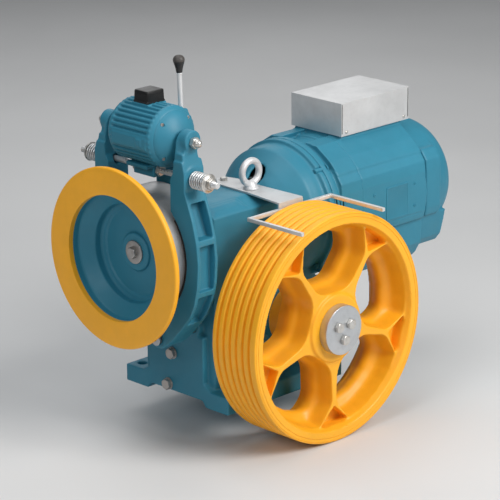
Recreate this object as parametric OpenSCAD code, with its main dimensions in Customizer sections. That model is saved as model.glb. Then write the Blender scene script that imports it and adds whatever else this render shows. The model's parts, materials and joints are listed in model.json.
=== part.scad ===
// Elevator traction machine: worm gearbox on a footed cast case, overhung rope
// sheave, drum brake with two hinged arms and a release solenoid, hand-turning
// flywheel and a flange-mounted motor.
// Frame: origin at the middle of the four base bolts on the underside of the
// feet, +X along the motor shaft towards the motor, -Y out of the sheave face,
// +Z up. The rope sheave hangs below the underside of the feet.

/* [Shafts] */
// Height of the motor and worm axis above the feet
drive_z = 395; // [390:1:400]
// Height of the sheave axis above the feet
sheave_z = 203; // [198:1:208]
// Distance of the sheave axis from the middle of the base along X
sheave_x = 17; // [10:1:24]
// Radius of the worm shaft at its bearings
worm_shaft_r = 25; // [24:0.5:26]
// Radius of the sheave shaft at its bearings
sheave_shaft_r = 40; // [38:0.5:41]

/* [Rope sheave] */
// Outer radius of the rope sheave
sheave_r = 280; // [270:1:282]
// Width of the rope sheave rim
rim_w = 140; // [136:1:141]
// Distance from the drive axis plane to the front face of the sheave
sheave_face = 337; // [337:1:342]
// Distance between neighbouring rope grooves
groove_pitch = 20.4; // [19.5:0.1:20.8]
// Depth of each rope groove
groove_d = 10; // [6:0.5:11]
// Depth of the spoked centre along the axis
spoke_w = 99; // [80:1:104]

/* [Brake] */
// Radius of the brake drum
drum_r = 148; // [144:1:149]
// Thickness of the brake linings
lining_t = 7; // [5:0.5:7]
// Width of the brake arms along the shaft
arm_w = 64; // [56:1:66]
// Outer radius of the brake springs
spring_r = 21; // [18:0.5:22]
// Wire radius of the brake springs
wire_r = 2.6; // [2:0.1:3]
// Number of turns of each brake spring
spring_turns = 6; // [5:1:7]

/* [Flywheel] */
// Outer radius of the yellow hand rim
hand_r = 216; // [205:1:220]
// Inner radius of the yellow hand rim
hand_ri = 150; // [150:0.5:156]
// Thickness of the yellow hand rim
hand_t = 14; // [10:1:14]

/* [Motor] */
// Outer radius of the motor frame
motor_r = 160; // [156:1:162]
// Length of the terminal box along the shaft
box_l = 244; // [220:1:246]
// Width of the terminal box
box_w = 170; // [150:1:172]
// Height of the terminal box
box_h = 83; // [70:1:86]

/* [Base] */
// Length of the feet along the shaft
foot_l = 390; // [380:1:394]
// Width over the feet
foot_w = 356; // [350:1:360]
// Thickness of the feet
foot_t = 43; // [36:1:45]
// Radius of the four base bolt holes
base_hole_r = 11; // [9:0.5:12]

/* [Solenoid] */
// Radius over the ribs of the release solenoid
sol_r = 74; // [72:0.5:75]
// Number of ribs round the solenoid
sol_ribs = 36; // [30:2:40]

/* [Hidden] */
$fn = 72;

teal = [0.24, 0.50, 0.60];
gold = [0.88, 0.62, 0.20];
steel = [0.66, 0.67, 0.69];
dark = [0.10, 0.10, 0.11];
sheet = [0.80, 0.81, 0.81];

// gear geometry: one-start worm and a wheel of forty teeth
module_a = 7.5;
wheel_teeth = 40;
lead = PI * module_a;
wheel_pr = module_a * wheel_teeth / 2;
worm_pr = drive_z - sheave_z - wheel_pr;
lead_angle = atan(lead / (2 * PI * worm_pr));

// stations along the drive axis, measured from the sheave axis
case_x0 = -196;
dome_x0 = 22;
flange_x = 165;
frame_x0 = 262;
frame_x1 = 500;
arm_x = -318;
rod_x = -286;
rod_z = 590;
sol_x = -281;
sol_z = 675;
sol_y1 = 66;
lever_x = -221;
lever_y = -43;
lever_z = 714;
pin_y = 58;
pin_z = 192;
sheave_y0 = -sheave_face;
sheave_y1 = -sheave_face + rim_w;
spoke_y0 = sheave_y0 + 15;
box_x0 = 273;
box_z0 = 567;
eye_x = -12;
eye_y = -58;

// everything below is measured from the sheave axis; place() moves it to the base frame
module place() translate([sheave_x, 0, 0]) children();
// put children on the drive axis, their Z turned to +X
module on_drive(x = 0) translate([x, 0, drive_z]) rotate([0, 90, 0]) children();
// put children on the sheave axis, their Z turned to +Y
module on_sheave(y = 0) translate([0, y, sheave_z]) rotate([-90, 0, 0]) children();
// bar along X, along Y
module bar_x(x0, x1, r) translate([x0, 0, 0]) rotate([0, 90, 0]) cylinder(h = x1 - x0, r = r);
module bar_y(y0, y1, r) translate([0, y0, 0]) rotate([-90, 0, 0]) cylinder(h = y1 - y0, r = r);
// outline in the YZ plane carried along X from x0 to x1
module slab_x(x0, x1) translate([x0, 0, 0]) rotate([90, 0, 90]) linear_extrude(x1 - x0) children();
// outline in the XZ plane carried along Y from y0 to y1
module slab_y(y0, y1) translate([0, y1, 0]) rotate([90, 0, 0]) linear_extrude(y1 - y0) children();
// hexagon prism with its axis on Z, af across flats
module hex(af, h) cylinder(h = h, r = af / sqrt(3), $fn = 6);
// ring with its axis on Z
module ring(h, ro, ri) difference() { cylinder(h = h, r = ro); translate([0, 0, -1]) cylinder(h = h + 2, r = ri); }
// hexagon bolt: head up from z = 0, shank down
module bolt(r, l) { hex(r * 3.1, r * 1.3); translate([0, 0, -l]) cylinder(h = l + 0.5, r = r); }
// round flange with four lugs for bolts at radius rb
module lugged(r, rb, rl, h) linear_extrude(h) { circle(r); for (a = [45:90:315]) rotate(a) translate([rb, 0]) circle(rl); }
// rolling bearing with recessed shields, axis on Z
module bearing(ri, ro, w) rotate_extrude() difference() {
  translate([ri, 0]) square([ro - ri, w]);
  translate([ri + (ro - ri) * 0.3, -1]) square([(ro - ri) * 0.4, 3.5]);
  translate([ri + (ro - ri) * 0.3, w - 2.5]) square([(ro - ri) * 0.4, 3.5]);
}

// points of a polygon with each corner rounded to radius r
function unit(v) = v / norm(v);
function arc_at(a, b, c, r, n) =
  let (u = unit(a - b), w = unit(c - b), h = acos(max(-1, min(1, u * w))) / 2,
       t = r / tan(h), m = unit(u + w), o = b + m * (r / sin(h)),
       p = b + u * t, q = b + w * t,
       a0 = atan2(p[1] - o[1], p[0] - o[0]), a1 = atan2(q[1] - o[1], q[0] - o[0]),
       d = a1 - a0 > 180 ? a1 - a0 - 360 : a1 - a0 < -180 ? a1 - a0 + 360 : a1 - a0)
  [for (i = [0:n]) o + r * [cos(a0 + d * i / n), sin(a0 + d * i / n)]];
function rounded(p, r, n = 4) =
  [for (i = [0:len(p) - 1]) each arc_at(p[(i + len(p) - 1) % len(p)], p[i], p[(i + 1) % len(p)], r, n)];
function pol(r, a) = [r * cos(a), r * sin(a)];

// ---------------------------------------------------------------- gearbox
module foot_outline() polygon([
  [-foot_w / 2, 0], [-foot_w / 2, foot_t], [-118, foot_t], [-94, 58], [-94, 80], [94, 80],
  [94, 58], [118, foot_t], [foot_w / 2, foot_t], [foot_w / 2, 0], [101, 0], [88, 14], [-88, 14], [-101, 0]]);
module case_outline() polygon([
  [-112, 14], [-120, 60], [-120, 468], [-70, 487], [70, 487], [120, 468], [120, 60], [112, 14]]);
dome_out = [[60, 31], [98, 31], [108, 33.5], [119, 38], [129, 44.5], [136, 51], [147, 66], [155, 83], [160, 103], [163, 126], [163, 148]];
module gear_housing() color(teal) place() difference() {
  union() {
    // feet and sump
    slab_x(-212, -212 + foot_l) foot_outline();
    // worm case
    slab_x(case_x0, 34) case_outline();
    // front pad that carries the brake pins and the plugs
    slab_x(-212, case_x0 + 1) polygon(rounded([[-94, 14.2], [-94, 173], [94, 173], [94, 14.2]], 3, 3));
    for (y = [-pin_y, pin_y]) translate([0, y, pin_z]) bar_x(-212, case_x0 + 1, 24);
    // wheel case with its side bosses
    on_sheave(-100) cylinder(h = 200, r = 184);
    on_sheave(-120) cylinder(h = 240, r = 118);
    slab_y(-100, 100) polygon([[-184, 20], [172, 20], [172, 203], [-184, 203]]);
    // bell that widens towards the motor, and the inner nose that carries the worm bearing
    on_drive() rotate_extrude() polygon(concat(dome_out, [[163, 160], [150, 160], [150, 120], [143, 92], [126, 66], [104, 48], [60, 42]]));
    on_drive(dome_x0) cylinder(h = 100, r = 62);
    // motor flange
    on_drive(148) lugged(178, 172, 16, flange_x - 148);
  }
  // room for the wheel, the sump and the worm
  on_sheave(-46) cylinder(h = 92, r = 168);
  translate([-168, -44, 26]) cube([326, 88, 120]);
  on_drive(-96) cylinder(h = 172, r = 58);
  // bearing seats
  on_drive(case_x0 - 1) cylinder(h = 102, r = 45);
  on_drive(75) cylinder(h = 48, r = 45);
  on_sheave(-121) cylinder(h = 242, r = 70);
  // keep the flange face and its bore clear of the wheel case
  on_drive(140) cylinder(h = 26, r = 150);
  on_drive(flange_x) cylinder(h = 40, r = 182);
  // seat of the oil filler cap
  translate([48, -16, 484]) cylinder(h = 60, r = 21);
  translate([48, -16, 460]) cylinder(h = 30, r = 12.2);
  // holes: base bolts, brake pins, plugs, cover bolts, eye bolt, bracket bolts, flange bolts
  for (x = [-179, 145], y = [-154, 154]) translate([x, y, -1]) cylinder(h = foot_t + 2, r = base_hole_r);
  for (y = [-pin_y, pin_y]) translate([0, y, pin_z]) bar_x(-213, -172, 12.5);
  translate([0, 10, 112]) bar_x(-213, -140, 9);
  translate([0, 26, 30]) bar_x(-213, -160, 9);
  for (a = [30:60:330]) on_sheave(-121) rotate([0, 0, a]) translate([90, 0, 0]) cylinder(h = 31, r = 6.2);
  for (a = [30:60:330]) on_sheave(90) rotate([0, 0, a]) translate([90, 0, 0]) cylinder(h = 31, r = 6.2);
  for (a = [45:90:315]) on_drive(case_x0 - 1) rotate([0, 0, a]) translate([58, 0, 0]) cylinder(h = 21, r = 4.2);
  translate([eye_x, eye_y, 460]) cylinder(h = 30, r = 10.2);
  translate([-4, 43, 460]) cylinder(h = 30, r = 5.2);
  for (y = [-29, 29]) translate([-166, y, 465]) cylinder(h = 25, r = 6.2);
  for (a = [45:90:315]) on_drive(139) rotate([0, 0, a]) translate([172, 0, 0]) cylinder(h = 27, r = 6.2);
}

module sheave_side_cover() color(teal) place() difference() {
  on_sheave() rotate_extrude() polygon([
    [53, -108], [69.8, -108], [69.8, -120], [105, -120], [105, -132], [102, -135], [74, -135],
    [66, -140], [62, -168], [52.2, -168], [52.2, -156], [41, -156], [41, -120], [53, -120]]);
  for (a = [30:60:330]) on_sheave(-136) rotate([0, 0, a]) translate([90, 0, 0]) cylinder(h = 17, r = 6.5);
}
module rear_side_cover() color(teal) place() difference() {
  on_sheave() rotate_extrude() polygon([
    [0, 152], [44, 152], [58, 146], [66, 135], [102, 135], [105, 132], [105, 120], [69.8, 120], [69.8, 108],
    [54, 108], [54, 126], [48, 140], [0, 142]]);
  for (a = [30:60:330]) on_sheave(119) rotate([0, 0, a]) translate([90, 0, 0]) cylinder(h = 17, r = 6.5);
}
module worm_end_cover() color(teal) place() difference() {
  on_drive() rotate_extrude() polygon([
    [36.2, -208], [68, -208], [70, -206], [70, -196], [44.8, -196], [44.8, -184], [38, -184], [38, -194], [26, -194], [26, -198], [36.2, -198]]);
  for (a = [45:90:315]) on_drive(-209) rotate([0, 0, a]) translate([58, 0, 0]) cylinder(h = 14, r = 4.5);
}
module case_bolts() color(steel) place() {
  for (a = [30:60:330]) on_sheave(-135) rotate([0, 0, a]) translate([90, 0, 0]) rotate([180, 0, 0]) bolt(6, 40);
  for (a = [30:60:330]) on_sheave(135) rotate([0, 0, a]) translate([90, 0, 0]) bolt(6, 40);
  for (a = [45:90:315]) on_drive(-208) rotate([0, 0, a]) translate([58, 0, 0]) rotate([180, 0, 0]) bolt(4, 28);
  translate([-4, 43, 491.6]) bolt(5, 28);
  for (y = [-29, 29]) translate([-166, y, 499]) bolt(6, 32);
}
module worm_bearings() color(steel) place() {
  on_drive(-183) bearing(worm_shaft_r + 0.05, 44.95, 30);
  on_drive(86) bearing(worm_shaft_r + 0.05, 44.95, 30);
}
module wheel_bearings() color(steel) place() {
  on_sheave(-106) bearing(sheave_shaft_r + 0.05, 69.95, 34);
  on_sheave(72) bearing(sheave_shaft_r + 0.05, 69.95, 34);
}
module shaft_seals() color(dark) place() {
  on_sheave(-167.5) ring(11, 52.1, sheave_shaft_r + 0.08);
  on_drive(-207.5) ring(9, 36.1, worm_shaft_r + 0.08);
  on_drive(116.5) ring(6, 44.9, worm_shaft_r + 0.08);
}
module oil_plugs() color([0.52, 0.48, 0.46]) place() {
  for (p = [[10, 112, 40], [26, 30, 34]]) translate([-212, p[0], p[1]]) rotate([0, -90, 0]) {
    cylinder(h = 3, r = 15);
    translate([0, 0, 3]) hex(24, 10);
    translate([0, 0, -p[2]]) cylinder(h = p[2], r = 8.8);
  }
}
module oil_filler_cap() color(dark) place() translate([48, -16, 484.1]) {
  rotate_extrude() polygon([[0, 0], [19, 0], [19, 12], [17.5, 14.5], [12, 15.5], [0, 15.5]]);
  for (a = [0:30:330]) rotate([0, 0, a]) translate([16.6, -2, 1]) cube([3, 4, 10]);
  translate([0, 0, -20]) cylinder(h = 21, r = 12);
}
// tapered plate that reaches from the case over to the guard bar
module guard_bracket() color(sheet) place() difference() {
  union() {
    translate([0, 0, 487]) linear_extrude(4.5) polygon(rounded([[-7, 66], [17, 66], [28, 28], [24, -60], [28, -192], [-52, -192], [-40, -80], [-36, 32]], 2, 2));
    translate([-52, -192, 476]) cube([80, 4, 12]);
  }
  translate([-4, 43, 480]) cylinder(h = 20, r = 5.5);
  translate([eye_x, eye_y, 480]) cylinder(h = 20, r = 10.5);
}
module eye_bolt() color(steel) place() translate([eye_x, eye_y, 491.5]) {
  difference() {
    union() {
      translate([0, 0, 41]) rotate([90, 0, 0]) rotate_extrude() translate([28, 0]) circle(r = 8.2, $fn = 32);
      cylinder(h = 10, r1 = 19, r2 = 13);
    }
    translate([0, 0, 41]) rotate([90, 0, 0]) translate([0, 0, -15]) cylinder(h = 30, r = 20.2);
  }
  translate([0, 0, -28]) cylinder(h = 28.5, r = 10);
}
// square bar bent to a U over the sheave
module rope_guard() color(sheet) place() {
  translate([-150, -193, 467]) cube([281, 9, 9]);
  for (x = [-150, 122]) translate([x, -360, 467]) cube([9, 168, 9]);
}

// ---------------------------------------------------------------- motor
module bell_housing() color(teal) place() difference() {
  union() {
    on_drive(flange_x) cylinder(h = frame_x0 - flange_x, r = 158);
    on_drive(flange_x) lugged(178, 172, 16, 14);
    on_drive(frame_x0 - 14) lugged(164, 168, 11.5, 14);
    // raised side pads that run on into those of the motor frame
    for (s = [-1, 1]) slab_x(206, frame_x0) polygon([[s * 100, 500], [s * 139, 500], [s * 160, 472], [s * 163, 448], [s * 163, 356], [s * 157, 336], [s * 100, 336]]);
    for (s = [-1, 1]) slab_x(200, frame_x0 - 26) polygon([[s * 40, 563], [s * 78, 558], [s * 111, 535], [s * 130, 512], [s * 60, 500]]);
  }
  on_drive(flange_x - 1) cylinder(h = 100, r = 150);
  // air slots, tall and narrow, on both sides
  for (s = [-1, 1], k = [0:2]) translate([182 + 8 * k, s * 155 - 25, 332]) cube([5, 50, 108]);
  for (a = [45:90:315]) on_drive(flange_x - 1) rotate([0, 0, a]) translate([172, 0, 0]) cylinder(h = 16, r = 6.5);
  for (a = [45:90:315]) on_drive(frame_x0 - 15) rotate([0, 0, a]) translate([168, 0, 0]) cylinder(h = 16, r = 5.5);
}
module motor_frame() color(teal) place() difference() {
  union() {
    on_drive(frame_x0) cylinder(h = frame_x1 - frame_x0, r = motor_r);
    on_drive(frame_x0) lugged(164, 168, 11.5, 12);
    // raised side pads, lower ledges and the seat of the terminal box
    for (s = [-1, 1]) slab_x(274, frame_x1 - 6) polygon([[s * 100, 506], [s * 142, 506], [s * 163, 478], [s * 166, 452], [s * 166, 352], [s * 160, 330], [s * 100, 330]]);
    for (s = [-1, 1]) slab_x(274, frame_x1 - 6) polygon([[s * 40, 566], [s * 78, 560], [s * 112, 536], [s * 132, 512], [s * 60, 500]]);
    for (s = [-1, 1]) slab_x(300, frame_x1) polygon([[s * 60, 222], [s * 118, 222], [s * 130, 234], [s * 146, 262], [s * 150, 330], [s * 60, 330]]);
    slab_x(278, frame_x1 - 4) polygon([[-78, 530], [-78, 566], [78, 566], [78, 530]]);
  }
  on_drive(frame_x0 - 1) cylinder(h = frame_x1 - frame_x0 + 2, r = 146);
  // cable passage up into the terminal box
  translate([395, 0, 500]) cylinder(h = 80, r = 30);
  for (a = [45:90:315]) on_drive(frame_x0 - 1) rotate([0, 0, a]) translate([168, 0, 0]) cylinder(h = 14, r = 5.5);
  for (a = [15:60:345]) on_drive(frame_x1 - 18) rotate([0, 0, a]) translate([153, 0, 0]) cylinder(h = 20, r = 3.2);
}
module stator_core() color([0.45, 0.45, 0.47]) place() on_drive(300) ring(170, 145.9, 92);
module stator_winding() color([0.72, 0.42, 0.22]) place() for (x = [[272, 299.9], [470.1, 494]])
  on_drive() rotate_extrude() polygon(rounded([[98, x[0]], [138, x[0]], [138, x[1]], [98, x[1]]], 6, 4));
module motor_end_cover() color(teal) place() difference() {
  union() {
    on_drive() rotate_extrude() polygon([
      [0, 618], [0, 634], [96, 634], [112, 632], [124, 627], [134, 618], [142, 606], [149, 590], [155, 568], [160, 540],
      [162, 520], [162, 500], [146, 500], [146, 536], [140, 566], [133, 590], [124, 606], [112, 616], [96, 620]]);
    // bearing seat and its six ribs
    on_drive(580) cylinder(h = 42, r = 56);
    for (a = [0:60:300]) on_drive(590) rotate([0, 0, a]) translate([40, -4, 0]) cube([84, 8, 30]);
    // ledges that carry on the lines of the frame
    for (s = [-1, 1]) slab_x(500, 556) polygon([[s * 120, 500], [s * 142, 500], [s * 160, 476], [s * 163, 450], [s * 163, 352], [s * 157, 330], [s * 120, 330]]);
    for (s = [-1, 1]) slab_x(500, 592) polygon([[s * 60, 242], [s * 116, 242], [s * 132, 262], [s * 142, 300], [s * 148, 330], [s * 60, 330]]);
  }
  on_drive(499) cylinder(h = 60, r = 140);
  on_drive(558) cylinder(h = 23, r1 = 140, r2 = 132);
  on_drive(579) cylinder(h = 34, r = 42);
  for (a = [15:60:345]) on_drive(499) rotate([0, 0, a]) translate([153, 0, 0]) cylinder(h = 44, r = 3.5);
}
module motor_bearing() color(steel) place() on_drive(586) bearing(22.05, 41.95, 26);
module motor_bolts() color(steel) place() {
  for (a = [45:90:315]) on_drive(flange_x + 14) rotate([0, 0, a]) translate([172, 0, 0]) bolt(6, 36);
  for (a = [45:90:315]) on_drive(frame_x0 - 14) rotate([0, 0, a]) translate([168, 0, 0]) rotate([180, 0, 0]) bolt(5, 24);
}
module terminal_box() color(sheet) place() translate([box_x0, -box_w / 2, box_z0]) difference() {
  translate([2.5, 2.5, -1]) cube([box_l - 5, box_w - 5, 52]);
  translate([4.5, 4.5, 2]) cube([box_l - 9, box_w - 9, 60]);
  translate([395 - box_x0, box_w / 2, -2]) cylinder(h = 10, r = 30);
  translate([box_l / 2, box_w, 26]) rotate([90, 0, 0]) cylinder(h = 20, r = 12.75);
}
module terminal_box_cover() color(sheet) place() translate([box_x0, -box_w / 2, box_z0]) difference() {
  cube([box_l, box_w, box_h]);
  translate([2, 2, -1]) cube([box_l - 4, box_w - 4, box_h - 1]);
  translate([box_l / 2, box_w + 1, 26]) rotate([90, 0, 0]) cylinder(h = 20, r = 12.75);
  for (x = [18, box_l - 18]) translate([x, -1, 9]) rotate([-90, 0, 0]) cylinder(h = box_w + 2, r = 2.2);
}
module box_screws() color(steel) place() translate([box_x0, 0, box_z0]) for (x = [18, box_l - 18], s = [0, 180])
  translate([x, 0, 9]) rotate([0, 0, s]) translate([0, -box_w / 2, 0]) rotate([90, 0, 0]) { cylinder(h = 2, r = 4.5); translate([0, 0, -2.3]) cylinder(h = 2.8, r = 2); }
module terminal_strip() color(dark) place() translate([300, -30, box_z0 + 2]) {
  translate([0, 0, 0.2]) cube([60, 60, 14]);
  for (i = [0:2], j = [0, 1]) translate([12 + 18 * i, 18 + 24 * j, 14]) { cylinder(h = 16, r = 3); hex(10, 5); }
}

// ---------------------------------------------------------------- solenoid and its stand
module solenoid_bracket() color(teal) place() difference() {
  union() {
    slab_y(-35, 35) polygon([[-232, 487], [-150, 487], [-150, 499], [-196, 499], [-206, 510], [-214, 540], [-214, 599], [-232, 599]]);
    // saddle under the solenoid and the lug for the spring rod
    translate([-326, -35, 597]) cube([112, 70, 10]);
    translate([-302, -35, 574]) cube([32, 70, 24]);
  }
  translate([rod_x, 0, rod_z]) bar_y(-40, 40, 8.1);
  translate([sol_x, 0, sol_z]) bar_y(-50, 50, 71);
  for (y = [-29, 29]) translate([-166, y, 480]) cylinder(h = 25, r = 6.5);
}
module solenoid_housing() color(teal) place() difference() {
  union() {
    translate([sol_x, 0, sol_z]) bar_y(-86, sol_y1, 70.9);
    translate([sol_x, sol_y1, sol_z]) rotate([90, 0, 0]) linear_extrude(86 + sol_y1) for (i = [0:sol_ribs - 1]) let (a = i * 360 / sol_ribs) if (a < 245 || a > 295) rotate(a) translate([62, -1.6]) square([sol_r - 62, 3.2]);
    // end rings, flat side panel and the seat of the terminal block
    for (y = [-86, sol_y1 - 8]) translate([sol_x, 0, sol_z]) bar_y(y, y + 8, sol_r + 1);
    translate([sol_x - sol_r - 1, -52, sol_z - 22]) cube([20, 102, 30]);
    translate([-308, -27, 735]) cube([56, 54, 11.5]);
    // lug with two ears that carry the hand release lever
    translate([lever_x - 16, lever_y - 9, 690]) cube([32, 18, 14.5]);
    for (x = [-16, 8]) translate([lever_x + x, lever_y - 9, 690]) cube([8, 18, lever_z - 680]);
  }
  translate([lever_x, lever_y, lever_z]) bar_x(-12.1, 20, 4.05);
  translate([lever_x - 8, lever_y - 9.5, 704.5]) cube([16, 19, 40]);
  translate([sol_x, 0, sol_z]) bar_y(-87, sol_y1 + 1, 58);
  // room under the terminal block and a flat where it stands on the saddle
  translate([-308, -27, 746.5]) cube([56, 54, 10]);
  translate([-340, -42, 590]) cube([130, 84, 14.2]);
  for (s = [-1, 1], a = [40:90:310]) translate([sol_x, s > 0 ? sol_y1 + 1 : -87, sol_z]) rotate([0, a, 0]) translate([64, 0, 0]) rotate([s * 90, 0, 0]) cylinder(h = 16, r = 2.6);
}
module cap_body() difference() {
  rotate_extrude() polygon(concat([[58, -6], [57.9, 0], [sol_r + 1, 0], [sol_r + 1, 8]],
    [for (i = [0:5]) [sol_r - 13 + 14 * cos(i * 18), 10 + 14 * sin(i * 18)]], [[40, 24.6], [36, 26], [10.2, 26], [10.2, 6], [52, 6], [52, -6]]));
  for (a = [40:90:310]) rotate([0, 0, a]) translate([64, 0, -1]) cylinder(h = 40, r = 2.8);
}
module solenoid_cap_left() color(teal) place() translate([sol_x, sol_y1, sol_z]) rotate([-90, 0, 0]) cap_body();
module solenoid_cap_right() color(teal) place() translate([sol_x, -86, sol_z]) rotate([90, 0, 0]) cap_body();
module solenoid_coil() color([0.62, 0.36, 0.20]) place() translate([sol_x, 0, sol_z]) rotate([-90, 0, 0]) translate([0, 0, -70]) ring(122, 57, 24);
module solenoid_terminal_block() color(dark) place() translate([-280, 0, 746.7]) difference() {
  translate([-25, -22, 0]) linear_extrude(29) polygon(rounded([[0, 0], [50, 0], [50, 44], [0, 44]], 3, 3));
  translate([-27, -4, 22]) cube([54, 8, 8]);
}
module plunger(s) {
  translate([sol_x, 0, sol_z]) { if (s < 0) { bar_y(-116.4, -12, 10); bar_y(-58, -12, 23); } else { bar_y(12, 116.4, 10); bar_y(12, 58, 23); } }
}
module plunger_right() color(steel) place() plunger(-1);
module plunger_left() color(steel) place() plunger(1);
module release_lever() color(steel) place() translate([lever_x, lever_y, lever_z]) {
  bar_x(-12, 18, 4);
  difference() { bar_x(-7.5, 7.5, 8.5); translate([0, 0, -10]) cube([20, 20, 5], center = true); }
  rotate([-2, 0, 0]) {
    translate([0, 0, 6]) cylinder(h = 92, r = 5);
    translate([0, 0, 95]) { cylinder(h = 30, r1 = 7, r2 = 12.5); translate([0, 0, 30]) cylinder(h = 5, r1 = 12.5, r2 = 13.5); translate([0, 0, 35]) cylinder(h = 3, r = 13.5); translate([0, 0, 38]) cylinder(h = 4, r1 = 13.5, r2 = 9); }
  }
}

// ---------------------------------------------------------------- brake
// arm outline on the +Y side: first number out from the shaft plane, second up
arm_in = drum_r + lining_t + 1;
function arm_pts() = concat(
  [[46, 168], [68, 168], [90, 184], [114, 208], [140, 236], [163, 264], [180, 300], [191, 345], [195, 400], [190, 450], [177, 500], [162, 540], [152, 566], [152, 612], [146, 634], [142, 652], [117.5, 652], [114.5, 604], [105, 588], [105, 512]],
  [for (a = [42:-8:-62]) [arm_in * cos(a), drive_z + arm_in * sin(a)]],
  [[70, 230], [52, 220], [36, 211], [31, 198], [31, 182]]);
// space between the two outer flanges of the arm, above, between and below the cross ribs
function arm_pocket(i) = i == 0 ? [[132, 540], [171, 536], [205, 455], [166, 455]] :
  i == 1 ? [[174, 440], [215, 440], [217, 330], [174, 330]] : [[170, 316], [205, 316], [160, 232], [134, 250]];
module arm_solid() difference() {
  union() {
    slab_x(arm_x, arm_x + arm_w) polygon(arm_pts());
    // pivot boss, spring boss and the boss that takes the adjusting screw
    translate([0, pin_y, pin_z]) bar_x(arm_x - 2, arm_x + arm_w + 2, 24);
    translate([rod_x, 0, rod_z]) bar_y(116, 153, 31);
    translate([sol_x, 0, sol_z + 3]) bar_y(117, 146, 25);
    slab_y(117, 143) polygon([[sol_x - 17, sol_z], [sol_x + 17, sol_z], [sol_x + 24, 640], [sol_x - 30, 640]]);
  }
  // narrow the neck
  for (x = [[arm_x - 3, arm_x + 5], [arm_x + arm_w - 10, arm_x + arm_w + 3]]) translate([x[0], 90, 634]) cube([x[1] - x[0], 70, 30]);
  for (i = [0:2]) slab_x(arm_x + 11, arm_x + arm_w - 9) polygon(arm_pocket(i));
  translate([0, pin_y, pin_z]) bar_x(arm_x - 5, arm_x + arm_w + 5, 12.45);
  translate([rod_x, 0, rod_z]) bar_y(90, 160, 12);
  translate([sol_x, 0, sol_z]) bar_y(110, 150, 8.05);
}
module brake_arm_left() color(teal) place() arm_solid();
module brake_arm_right() color(teal) place() mirror([0, 1, 0]) arm_solid();
module lining_solid() slab_x(arm_x + 2, arm_x + arm_w - 2) polygon(concat(
  [for (a = [40:-5:-55]) [(drum_r + 0.35) * cos(a) / cos(2.5), drive_z + (drum_r + 0.35) * sin(a) / cos(2.5)]],
  [for (a = [-55:5:40]) [(arm_in - 0.6) * cos(a), drive_z + (arm_in - 0.6) * sin(a)]]));
module lining_left() color(dark) place() lining_solid();
module lining_right() color(dark) place() mirror([0, 1, 0]) lining_solid();
module adjuster_solid() translate([sol_x, 0, sol_z]) {
  bar_y(117, 150, 7.95);
  translate([0, 146.1, 0]) rotate([-90, 0, 0]) { hex(24, 14); translate([0, 0, 14]) cylinder(h = 6, r1 = 11.5, r2 = 9.5); translate([0, 0, 20]) cylinder(h = 5, r1 = 9.5, r2 = 4); }
}
module adjuster_left() color(steel) place() adjuster_solid();
module adjuster_right() color(steel) place() mirror([0, 1, 0]) adjuster_solid();
module brake_pivot_pins() color(steel) place() for (y = [-pin_y, pin_y]) translate([0, y, pin_z]) {
  bar_x(arm_x - 8, -172, 12.4);
  bar_x(arm_x - 12, arm_x - 8, 15);
}
module spring_rod() color(steel) place() translate([rod_x, 0, rod_z]) bar_y(-230, 230, 7.9);
module rod_nut(y, s) translate([rod_x, y, rod_z]) rotate([s * -90, 0, 0]) difference() { hex(24, 9); translate([0, 0, -1]) cylinder(h = 11, r = 8); }
module rod_nuts() color(steel) place() for (s = [-1, 1]) { rod_nut(s * 35.3, s); rod_nut(s * 204.2, s); }
module spring_washers() color(steel) place() for (s = [-1, 1]) translate([rod_x, s * 198.2, rod_z]) rotate([s * -90, 0, 0]) ring(5.8, 23, 8.1);
// coil of round wire: ring of points at each step of the helix
coil_n = 14;
coil_m = 8;
coil_l = 44.4;
function coil_pts() = [for (i = [0:spring_turns * coil_n]) let (a = i * 360 / coil_n, t = i / (spring_turns * coil_n), y = wire_r + t * (coil_l - 2 * wire_r))
  for (j = [0:coil_m - 1]) let (b = j * 360 / coil_m, r = spring_r - wire_r + wire_r * cos(b)) [r * cos(a), y + wire_r * sin(b), r * sin(a)]];
coil_steps = spring_turns * coil_n;
coil_faces = concat(
  [[for (j = [0:coil_m - 1]) j]],
  [for (i = [0:coil_steps - 1], j = [0:coil_m - 1]) let (k = (j + 1) % coil_m) [i * coil_m + k, i * coil_m + j, (i + 1) * coil_m + j, (i + 1) * coil_m + k]],
  [[for (j = [coil_m - 1:-1:0]) coil_steps * coil_m + j]]);
module coil() polyhedron(points = coil_pts(), faces = coil_faces, convexity = 8);
module brake_spring_left() color(sheet) place() translate([rod_x, 153.4, rod_z]) coil();
module brake_spring_right() color(sheet) place() mirror([0, 1, 0]) translate([rod_x, 153.4, rod_z]) coil();

// ---------------------------------------------------------------- high-speed line
worm_n = 24;
worm_turns = 4.6;
function worm_ring(i) = let (t = i * 360 / worm_n, x = lead * (t / 360 + 0.25 + 0.5) - lead * 3,
  f = min(1, min(i, worm_turns * worm_n - i) / 7), rt = 34 + (worm_pr + module_a - 34) * f)
  [for (p = [[30, -7.6], [rt, -7.6 + 5.5 * f], [rt, 7.6 - 5.5 * f], [30, 7.6]]) [x + p[1], p[0] * cos(t), p[0] * sin(t)]];
worm_steps = floor(worm_turns * worm_n);
module worm_thread() polyhedron(
  points = [for (i = [0:worm_steps]) each worm_ring(i)],
  faces = concat([[0, 2, 1], [0, 3, 2]], [for (i = [0:worm_steps - 1], j = [0:3], h = [0, 1]) let (k = (j + 1) % 4, a = i * 4, b = a + 4)
      h == 0 ? [a + j, a + k, b + k] : [a + j, b + k, b + j]],
    [[worm_steps * 4, worm_steps * 4 + 1, worm_steps * 4 + 2], [worm_steps * 4, worm_steps * 4 + 2, worm_steps * 4 + 3]]), convexity = 10);
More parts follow.
